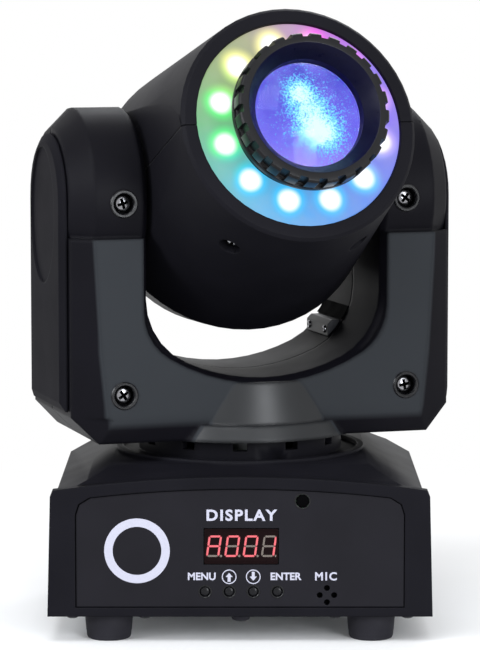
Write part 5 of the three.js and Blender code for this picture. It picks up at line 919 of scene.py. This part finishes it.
for node, place, slot, look in (
    ("base_housing", BASE, "housing", "housing"),
    ("control_panel", BASE, "panel", "panel"),
    ("rear_panel", BASE, "panel", "panel"),
    ("base_plate", BASE, "steel", "steel"),
    ("power_inlet", BASE, "component", "component"),
    ("dmx_input", BASE, "component", "component"),
    ("dmx_output", BASE, "component", "component"),
    ("yoke_front_cover", YOKE, "housing", "housing_soft_painted_plates"),
    ("yoke_rear_cover", YOKE, "housing", "housing_soft_painted_plates"),
    ("left_side_cover", YOKE, "housing", "cover"),
    ("right_side_cover", YOKE, "housing", "cover"),
    ("access_block", YOKE, "housing", "block"),
    ("head_upper_shell", HEAD, "housing", "housing"),
    ("head_lower_shell", HEAD, "housing", "housing"),
    ("head_rear_cover", HEAD, "housing", "housing"),
):
    add_skin(node, place, slot, look)

record_slots = {row["node"]: row["material_slot"] for row in frame["record"]["subparts"]}
for name, node in frame["nodes"].items():
    node.data.materials.clear()
    node.data.materials.append(MATERIALS[record_slots[name]])


# Light ring

DIFFUSER_PROFILE = [
    (DIFFUSER_BORE, DIFFUSER_BACK),
    (DIFFUSER_BORE, DIFFUSER_FRONT),
    (DIFFUSER_RADIUS, DIFFUSER_FRONT),
    (DIFFUSER_RADIUS, FLANGE_FRONT),
    (FLANGE_RADIUS, FLANGE_FRONT),
    (FLANGE_RADIUS, DIFFUSER_BACK),
]
diffuser = turned_piece(
    "ring_diffuser_fine", filleted(DIFFUSER_PROFILE, DIFFUSER_FILLET, closed=True),
    DIFFUSER_SIDES, OPTIC, "head", "diffuser", replaced=("ring_diffuser",), closed=True,
)
# Its flange is painted near-black as painted shade, so that no light shows through the joint of the
# shells
paint(diffuser, "hole", lambda middle: middle.xy.length > DIFFUSER_RADIUS + FLANGE_PAINT_GAP)


# Focus ring, whose rim has notches all round

FOCUS_PROFILE = [
    (FOCUS_MOUTH, FOCUS_FRONT),
    (FOCUS_RIM - FOCUS_CHAMFER_WIDTH, FOCUS_FRONT),
    (FOCUS_RIM, FOCUS_FRONT - FOCUS_CHAMFER_DEPTH),
    (FOCUS_RIM, NOTCH_BACK),
    (FOCUS_GROOVE, NOTCH_BACK),
    (FOCUS_GROOVE, FOCUS_GROOVE_BACK),
    (FOCUS_RIM, FOCUS_GROOVE_BACK),
    (FOCUS_RIM, FOCUS_RIM_BACK),
    (FOCUS_BARREL, FOCUS_RIM_BACK),
    (FOCUS_BARREL, FOCUS_BARREL_BACK),
    (FOCUS_TAIL, FOCUS_BARREL_BACK),
    (FOCUS_TAIL, FOCUS_TAIL_BACK),
    (FOCUS_BORE, FOCUS_TAIL_BACK),
    (FOCUS_BORE, LENS_SEAT_BACK),
    (LENS_SEAT, LENS_SEAT_BACK),
    (LENS_SEAT, LENS_SEAT_FRONT),
]


def in_bore(middle):
    return middle.z > LENS_EDGE_BACK and middle.xy.length < GLOSSY_BORE


def add_focus_ring():
    shape = filleted(FOCUS_PROFILE, FOCUS_FILLET, closed=True)
    pitch = 2 * math.pi / NOTCH_COUNT
    half = pitch * NOTCH_SHARE / 2
    wall = pitch * NOTCH_WALL_SHARE
    # Angles of one notch and the tooth beside it, and which of them lie in the notch
    steps = [(-half - wall, False), (-half + wall, True), (0, True), (half - wall, True)]
    steps += [(half + wall, False), (pitch / 2 - pitch * NOTCH_EDGE_SHARE, False), (pitch / 2, False)]
    columns = [(pitch * i + angle, notched) for i in range(NOTCH_COUNT) for angle, notched in steps]
    verts = []
    for angle, notched in columns:
        for radius, height in shape:
            if notched and height > NOTCH_BACK - NOTCH_BACK_GAP:
                radius = min(radius, NOTCH_FLOOR)
            verts.append((radius * math.cos(angle), radius * math.sin(angle), height))
    rows = len(shape)
    faces = []
    for i in range(len(columns)):
        j = (i + 1) % len(columns)
        for k in range(rows):
            m = (k + 1) % rows
            faces.append([i * rows + k, j * rows + k, j * rows + m, i * rows + m])
    made = add_piece(
        "focus_ring_fine", verts, faces, OPTIC, "focus_ring", "housing", "collar_matt",
        ("focus_ring",), FOCUS_SHARP,
    )
    # The inner faces by the lens take a blue-tinted colour, painted light from the lens
    paint(made, "bore_painted_blue", in_bore)
    outward(made)


add_focus_ring()


# Objective lens and the lit picture at its back

LENS_SAG = LENS_CROWN - LENS_EDGE_FRONT
lens_shares = [i / LENS_RINGS for i in range(LENS_RINGS + 1)]
lens_dome = [(LENS_RADIUS * share, LENS_CROWN - LENS_SAG * share**2) for share in lens_shares]
turned_piece(
    "lens_fine", lens_dome + [(LENS_RADIUS, LENS_EDGE_BACK), (0, LENS_EDGE_BACK)],
    LENS_SIDES, OPTIC, "lens", "lens", replaced=("objective_lens",),
)
BEAM_PROFILE = [(0, BEAM_BACK), (BEAM_RADIUS, BEAM_BACK), (BEAM_RADIUS, BEAM_FRONT), (0, BEAM_FRONT)]
turned_piece("lens_back_light", BEAM_PROFILE, LENS_SIDES, OPTIC, "lens", "lens", "beam")


# Cross-recessed screws

def dome_height(height, level):
    """Height of a screw's dome where level is the sine of the angle above its rim."""
    return height * (DOME_EDGE_SHARE + (1 - DOME_EDGE_SHARE) * level**DOME_POWER)


def cross_screw(radius, height, shank, length):
    """Verts and faces of a domed screw whose head rises along +Z from zero, with a cross recess."""
    dome = [(0, height)]
    for i in range(1, DOME_STEPS + 1):
        angle = math.pi / 2 * i / DOME_STEPS
        dome.append((radius * math.sin(angle), dome_height(height, math.cos(angle))))
    head = lathe(dome + [(radius, 0), (shank, 0), (shank, -length), (0, -length)], SMALL_SIDES)
    arm, wide = radius * CROSS_ARM_SHARE, radius * CROSS_WIDTH_SHARE
    corner = [(arm, -wide), (arm, wide), (wide, wide)]
    cross = []
    for quarter in range(4):
        cross += corner
        corner = [(-y, x) for x, y in corner]
    levels = (
        (CROSS_FLOOR_SHARE, height - height * CROSS_DEPTH_SHARE),
        (CROSS_TOP_SHARE, height + CROSS_RISE),
    )
    return cut_by(head, loft([[(x * share, y * share, z) for x, y in cross] for share, z in levels]))


def plain_object(part, name):
    mesh = bpy.data.meshes.new(name)
    mesh.from_pydata(part[0], [], part[1])
    bm = bmesh.new()
    bm.from_mesh(mesh)
    bmesh.ops.recalc_face_normals(bm, faces=bm.faces)
    bm.to_mesh(mesh)
    bm.free()
    made = bpy.data.objects.new(name, mesh)
    scene_objects.link(made)
    return made


def cut_by(part, tool):
    """One (verts, faces) pair with another taken out of it."""
    body = plain_object(part, "cut_body")
    other = plain_object(tool, "cut_tool")
    cutter = body.modifiers.new("cut", "BOOLEAN")
    cutter.operation = "DIFFERENCE"
    cutter.solver = "EXACT"
    cutter.object = other
    result = body.evaluated_get(bpy.context.evaluated_depsgraph_get()).to_mesh()
    verts = [tuple(v.co) for v in result.vertices]
    faces = [list(p.vertices) for p in result.polygons]
    for used in (body, other):
        bpy.data.objects.remove(used)
    return verts, faces


def add_screw(name, size, place, body, replaced=()):
    """A bright cross-recessed screw whose cross recess is painted near-black, painted shade."""
    radius, height = size[:2]

    def in_painted_shade(middle):
        off = min(middle.xy.length / radius, 1)
        dome = dome_height(height, math.sqrt(1 - off * off))
        return SHADE_BOTTOM < middle.z < dome - SHADE_SINK and off < SHADE_REACH_SHARE

    piece = add_piece(name, *cross_screw(*size), place, body, "screw", replaced=replaced)
    paint(outward(piece), "hole", in_painted_shade)


# Screws of the yoke's front cover, each in a collar

COLLAR = [(4.3, -2.6), (4.3, 0.1), (4.7, 0.45), (5.5, 0.45), (5.9, 0.05), (5.9, -0.2), (5.3, -2.6)]

for corner, x, turn in (
    ("upper_left", -SCREW_X, 0.3),
    ("upper_right", SCREW_X, 0.9),
    ("lower_left", -SCREW_X, 0.6),
    ("lower_right", SCREW_X, 0.2),
):
    node = corner + "_yoke_screw"
    low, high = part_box(node)
    height = (YOKE.inverted() @ ((low + high) / 2)).z / MM
    seat = towards(YOKE, x, SCREW_SINK - YOKE_HALF_DEPTH, height) @ Matrix.Rotation(turn, 4, "Z")
    add_screw(node + "_fine", YOKE_SCREW, seat, "yoke", (node,))
    turned_piece(
        node + "_collar", COLLAR, COLLAR_SIDES, towards(YOKE, x, -YOKE_HALF_DEPTH, height),
        "yoke", "housing", "collar", closed=True,
    )


# Screws deep in the recesses of the head's lower shell

for i, lean in enumerate((HEAD_SCREW_LEAN, -HEAD_SCREW_LEAN)):
    axis = HEAD @ Matrix.Translation((0, HEAD_SCREW_Y * MM, OPTIC_RISE * MM))
    seat = axis @ Matrix.Rotation(lean, 4, "Y") @ Matrix.Translation((0, 0, -HEAD_SCREW_SEAT * MM))
    add_screw(f"head_screw_{i + 1}", SHELL_SCREW, seat @ Matrix.Rotation(math.pi, 4, "X"), "head")


# Slot above the access block on the yoke's inner wall, as a near-black sliver of painted shade, and the
# block's two screws

SLOT_OUTLINE = [
    (48.5, 116.6), (47.0, 114.75), (46.7, 114.75), (48.2, 116.75), (50.0, 120.4), (50.35, 120.4),
]
# The slot is a near-black body placed in the wall, painted shade, not a cut
slot_painted_shade = loft([[(x, y, z) for x, z in SLOT_OUTLINE] for y in (SLOT_FRONT, SLOT_BACK)])
outward(add_piece("access_slot_shade", *slot_painted_shade, YOKE, "yoke", "housing", "hole"))

for i, depth in enumerate(BLOCK_SCREW_DEPTHS):
    at = YOKE @ Matrix.Translation((BLOCK_FACE * MM, depth * MM, BLOCK_SCREW_Z * MM))
    add_screw(f"access_screw_{i + 1}", BLOCK_SCREW, at @ Matrix.Rotation(-math.pi / 2, 4, "Y"), "yoke")


# Display with four slanted digits

SHOWN = "A001"
LIT_SEGMENTS = {"A": "abcefg", "0": "abcdef", "1": "bc"}


def segment_outline(x, y, upright, length):
    half, wide = length / 2, SEGMENT_WIDTH / 2
    points = [(-half, 0), (-half + wide, wide), (half - wide, wide)]
    points += [(half, 0), (half - wide, -wide), (-half + wide, -wide)]
    placed = [(x - b, y + a) if upright else (x + a, y + b) for a, b in points]
    return [(px + py * DIGIT_SLANT_SHARE, py) for px, py in placed]


def segments(centre):
    """Letter and outline of each of a digit's seven segments."""
    w, h = DIGIT_HALF_WIDTH, DIGIT_HALF_HEIGHT
    places = {
        "a": (0, h, False), "g": (0, 0, False), "d": (0, -h, False),
        "b": (w, h / 2, True), "c": (w, -h / 2, True), "f": (-w, h / 2, True), "e": (-w, -h / 2, True),
    }
    for key, (x, y, upright) in places.items():
        length = h - UPRIGHT_GAP if upright else 2 * w - LEVEL_GAP
        yield key, [(px + centre, py) for px, py in segment_outline(x, y, upright, length)]


def add_display():
    place = towards(BASE, CONTROL_X, DISPLAY_FACE, DISPLAY_Z)
    half_width, half_height = DISPLAY_WIDTH / 2, DISPLAY_HEIGHT / 2
    outline = filleted(rectangle(half_width, half_height), DISPLAY_FILLET, closed=True)
    window = rectangle(half_width - WINDOW_RIM, half_height - WINDOW_RIM)
    window = filleted(window, WINDOW_FILLET, closed=True)
    levels = [(outline, -DISPLAY_DEPTH), (outline, -DISPLAY_LIP), (outline, 0)]
    levels += [(window, 0), (window, -WINDOW_SINK)]
    block = loft([[(x, y, z) for x, y in line] for line, z in levels])
    outward(add_piece("display_block", *block, place, "base", "display", replaced=("display_module",)))

    groups = {"segment_on": [], "segment_off": [], "segment_haze": []}
    for i, sign in enumerate(SHOWN):
        centre = DIGIT_SHIFT + (i - (len(SHOWN) - 1) / 2) * DIGIT_PITCH
        for key, segment in segments(centre):
            look = "segment_on" if key in LIT_SEGMENTS[sign] else "segment_off"
            groups[look].append(prism(segment, SEGMENT_BACK, SEGMENT_FRONT))
            if look == "segment_on":
                groups["segment_haze"].append(prism(grown(segment, HAZE_SPREAD), HAZE_BACK, HAZE_FRONT))
        point_x = centre + DIGIT_HALF_WIDTH + POINT_GAP
        point = circle(point_x, -DIGIT_HALF_HEIGHT, POINT_RADIUS, POINT_SIDES)
        groups["segment_off"].append(prism(point, SEGMENT_BACK, SEGMENT_FRONT))
    for look, parts in groups.items():
        lot = merged(parts)
        outward(add_piece("display_" + look, *lot, place, "base", "display", look, smooth=False))


add_display()


# Buttons, the sensor and the microphone, on the front of the panel

BUTTONS = ("menu_button", "up_button", "down_button", "enter_button")
BUTTON_CROWN = [(0, 0), (0.9, -0.02), (1.6, -0.16), (2.0, -0.5), (BUTTON_RADIUS, -0.9)]
BUTTON_RIM = [(2.25, 0.05), (2.45, 0.18), (2.85, 0.12), (3.0, -0.05), (2.25, -0.6)]
SENSOR_RIM = [(2.85, 0.02), (3.1, 0.14), (3.45, 0.1), (3.6, -0.05), (2.85, -0.8)]
SENSOR_DOME = [(0, 0), (1.4, -0.04), (2.3, -0.14), (2.65, -0.3), (2.65, -1.4), (0, -1.4)]
MIC_SHADE = [(0, 0), (MIC_SHADE_RADIUS, 0), (MIC_SHADE_RADIUS, -MIC_SHADE_THICKNESS), (0, -MIC_SHADE_THICKNESS)]


def add_button(node, x):
    low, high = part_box(node)
    back = (high.y - low.y) / MM
    profile = BUTTON_CROWN + [
        (BUTTON_RADIUS, BUTTON_FLANGE_FRONT),
        (BUTTON_FLANGE_RADIUS, BUTTON_FLANGE_FRONT),
        (BUTTON_FLANGE_RADIUS, BUTTON_FLANGE_BACK),
        (BUTTON_RADIUS, BUTTON_FLANGE_BACK),
        (BUTTON_RADIUS, -back),
        (0, -back),
    ]
    at = towards(BASE, x, low.y / MM, BUTTON_Z)
    turned_piece(node + "_fine", profile, SMALL_SIDES, at, node, "button", replaced=(node,))
    at = towards(BASE, x, PANEL_FACE, BUTTON_Z)
    turned_piece(node + "_rim", BUTTON_RIM, SMALL_SIDES, at, "base", "panel", "collar", closed=True)


for i, node in enumerate(BUTTONS):
    add_button(node, CONTROL_X + (i - (len(BUTTONS) - 1) / 2) * BUTTON_PITCH)

turned_piece(
    "sensor_rim", SENSOR_RIM, COLLAR_SIDES, towards(BASE, SENSOR_X, PANEL_FACE, SENSOR_Z),
    "base", "panel", "collar", closed=True,
)
turned_piece(
    "sensor_dome", SENSOR_DOME, SMALL_SIDES, towards(BASE, SENSOR_X, PANEL_FACE + SENSOR_SINK, SENSOR_Z),
    "base", "component", "hole",
)
# A near-black disc behind the microphone openings, so that they read dark: painted shade
turned_piece(
    "microphone_shade_disc", MIC_SHADE, SMALL_SIDES, towards(BASE, MIC_X, PANEL_BACK, MIC_Z),
    "base", "component", "hole",
)


# Printing on the control panel

def outline_ring(inner, outer, sides=LENS_SIDES):
    """A flat ring as a thin closed body."""
    low, high = PRINT_LIFT, PRINT_LIFT + PRINT_THICKNESS
    return lathe([(inner, low), (outer, low), (outer, high), (inner, high)], sides, closed=True)


def print_piece(name, part, x, z):
    outward(add_piece(name, *part, towards(BASE, x, PANEL_FACE, z), "base", "panel", "ink", smooth=False))


def add_lettering(name, text, x, z, height, spacing=1.0, swell=PRINT_SWELL, width_share=1.0):
    """Plain capitals, centred on a point of the panel."""
    curve = bpy.data.curves.new(name, "FONT")
    curve.body = text
    curve.size = height * FONT_SHARE * MM
    curve.align_x = "CENTER"
    curve.align_y = "CENTER"
    curve.space_character = spacing
    curve.offset = swell * MM
    curve.extrude = PRINT_THICKNESS / 2 * MM
    curve.resolution_u = 4
    words = bpy.data.objects.new(name + "_line", curve)
    scene_objects.link(words)
    mesh = bpy.data.meshes.new_from_object(words.evaluated_get(bpy.context.evaluated_depsgraph_get()))
    bpy.data.objects.remove(words)
    mesh.transform(Matrix.Diagonal((width_share, 1, 1, 1)))
    at = towards(BASE, x, PANEL_FACE - PRINT_LIFT - PRINT_THICKNESS / 2, z)
    finish_piece(name, mesh, at, "base", "panel", "ink", smooth=False)


add_lettering(
    "label_display", "DISPLAY", TITLE_X, TITLE_Z, TITLE_HEIGHT,
    spacing=1.2, swell=TITLE_SWELL, width_share=1.06,
)
add_lettering("label_menu", "MENU", MENU_X, LABEL_Z, LABEL_HEIGHT)
add_lettering("label_enter", "ENTER", ENTER_X, LABEL_Z, LABEL_HEIGHT)
add_lettering("label_mic", "MIC", MIC_LABEL_X, LABEL_Z, MIC_LABEL_HEIGHT, spacing=1.25)

ARROW = [(-0.62, -2.1), (0.62, -2.1), (0.62, -0.1), (1.5, -0.1), (0, 1.65), (-1.5, -0.1), (-0.62, -0.1)]
arrow_ring = outline_ring(ARROW_RING_BORE, ARROW_RING_RADIUS, COLLAR_SIDES)
for name, x, way in (("up", CONTROL_X - BUTTON_PITCH / 2, 1), ("down", CONTROL_X + BUTTON_PITCH / 2, -1)):
    arrow = prism([(a, b * way) for a, b in ARROW], PRINT_LIFT, PRINT_LIFT + PRINT_THICKNESS)
    print_piece("mark_" + name, merged([arrow_ring, arrow]), x, LABEL_Z)

print_piece("mark_ring", outline_ring(MARK_BORE, MARK_RADIUS), MARK_X, MARK_Z)


# Feet

FOOT_PROFILE = [
    (0, -10.6), (2.2, -10.6), (2.6, -11.0), (5.6, -11.0), (6.0, FLOOR), (8.3, FLOOR), (8.9, -11.3),
    (9.3, -10.4), (9.45, -8.4), (9.6, -8.1), (10.15, -1.2), (10.05, -0.6), (9.7, -0.3), (3, -0.3),
    (3, 1.8), (0, 1.8),
]

for node in ("front_left_foot", "front_right_foot", "rear_left_foot", "rear_right_foot"):
    low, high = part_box(node)
    middle = (low + high) / 2
    at = Matrix.Translation((middle.x, middle.y, 0))
    turned_piece(node + "_fine", FOOT_PROFILE, FOOT_SIDES, at, "base", "foot", replaced=(node,))


# Screws and the plug under the base

PLUG = [(0, -3.2), (2.6, -3.2), (3.6, -2.7), (4.0, -1.6), (4.0, -0.4), (4.6, -0.3), (4.6, 0), (0, 0)]

plate_screw = cross_screw(*PLATE_SCREW)
plate_screw_places = [(side * x, y) for x, y in PLATE_SCREW_ROWS for side in (-1, 1)]
for i, (x, y) in enumerate(plate_screw_places):
    at = Matrix.Translation((x * MM, y * MM, 0)) @ Matrix.Rotation(math.pi, 4, "X")
    at = at @ Matrix.Rotation(PLATE_SCREW_TURN * i, 4, "Z")
    outward(add_piece(f"plate_screw_{i + 1}", *plate_screw, at, "base", "screw", "dark_screw"))
turned_piece(
    "plate_plug", PLUG, COLLAR_SIDES, Matrix.Translation((PLUG_X * MM, PLUG_Y * MM, 0)), "base", "foot"
)


# Room: a pale floor that fades into a white surround, and soft light

def add_floor():
    half = FLOOR_SIZE / 2 * MM
    mesh = bpy.data.meshes.new("floor")
    mesh.from_pydata([(x, y, 0) for x, y in rectangle(half, half)], [], [(0, 1, 2, 3)])
    s = Surface("floor")
    rays = s.node("ShaderNodeLightPath").outputs
    bent = s.math("MAXIMUM", rays["Is Glossy Ray"], rays["Is Transmission Ray"])
    shown = s.math("MAXIMUM", rays["Is Camera Ray"], bent)
    length = s.node("ShaderNodeVectorMath", operation="LENGTH")
    s.join(s.place, length.inputs[0])
    far = s.spread(length.outputs["Value"], FADE_START * MM, FADE_END * MM, 0, 1, smooth=True)
    tint = s.blend(s.noise(8, detail=2), grey(0.93), grey(0.97))
    s.feed("Base Color", s.blend(shown, grey(0.5), tint))
    s.set(Roughness=0.9, Specular_IOR_Level=0.0)
    glow = s.node("ShaderNodeEmission")
    glow.inputs["Strength"].default_value = 1
    glow.inputs["Color"].default_value = grey(1)
    mix = s.node("ShaderNodeMixShader")
    s.join(s.math("MULTIPLY", far, shown), mix.inputs[0])
    s.join(s.shader.outputs[0], mix.inputs[1])
    s.join(glow.outputs[0], mix.inputs[2])
    s.join(mix.outputs[0], s.tree.nodes["Material Output"].inputs["Surface"])
    mesh.materials.append(s.material)
    floor = bpy.data.objects.new("floor", mesh)
    floor.location = (0, 0, FLOOR * MM)
    scene_objects.link(floor)


def add_world(level):
    """A white surround that lights the scene with a lower strength than it shows."""
    world = bpy.data.worlds.new("world")
    bpy.context.scene.world = world
    world.use_nodes = True
    tree = world.node_tree
    ground = tree.nodes["Background"]
    ground.inputs["Color"].default_value = grey(1)
    rays = tree.nodes.new("ShaderNodeLightPath")
    first = tree.nodes.new("ShaderNodeMath")
    second = tree.nodes.new("ShaderNodeMath")
    strength = tree.nodes.new("ShaderNodeMapRange")
    for either in (first, second):
        either.operation = "MAXIMUM"
    tree.links.new(rays.outputs["Is Camera Ray"], first.inputs[0])
    tree.links.new(rays.outputs["Is Glossy Ray"], first.inputs[1])
    tree.links.new(first.outputs[0], second.inputs[0])
    tree.links.new(rays.outputs["Is Transmission Ray"], second.inputs[1])
    tree.links.new(second.outputs[0], strength.inputs["Value"])
    strength.inputs["To Min"].default_value = level
    strength.inputs["To Max"].default_value = 1
    tree.links.new(strength.outputs["Result"], ground.inputs["Strength"])


def add_lamp(name, place, aim, size, power):
    data = bpy.data.lights.new(name, "AREA")
    data.shape = "RECTANGLE"
    data.size, data.size_y = (side * MM for side in size)
    data.energy = power
    data.color = LAMP_COLOUR
    here, there = (Vector([c * MM for c in point]) for point in (place, aim))
    made = bpy.data.objects.new(name, data)
    made.location = here
    made.rotation_euler = (there - here).to_track_quat("-Z", "Y").to_euler()
    scene_objects.link(made)


add_floor()
add_world(AMBIENT)
for lamp in LAMPS:
    add_lamp(*lamp)
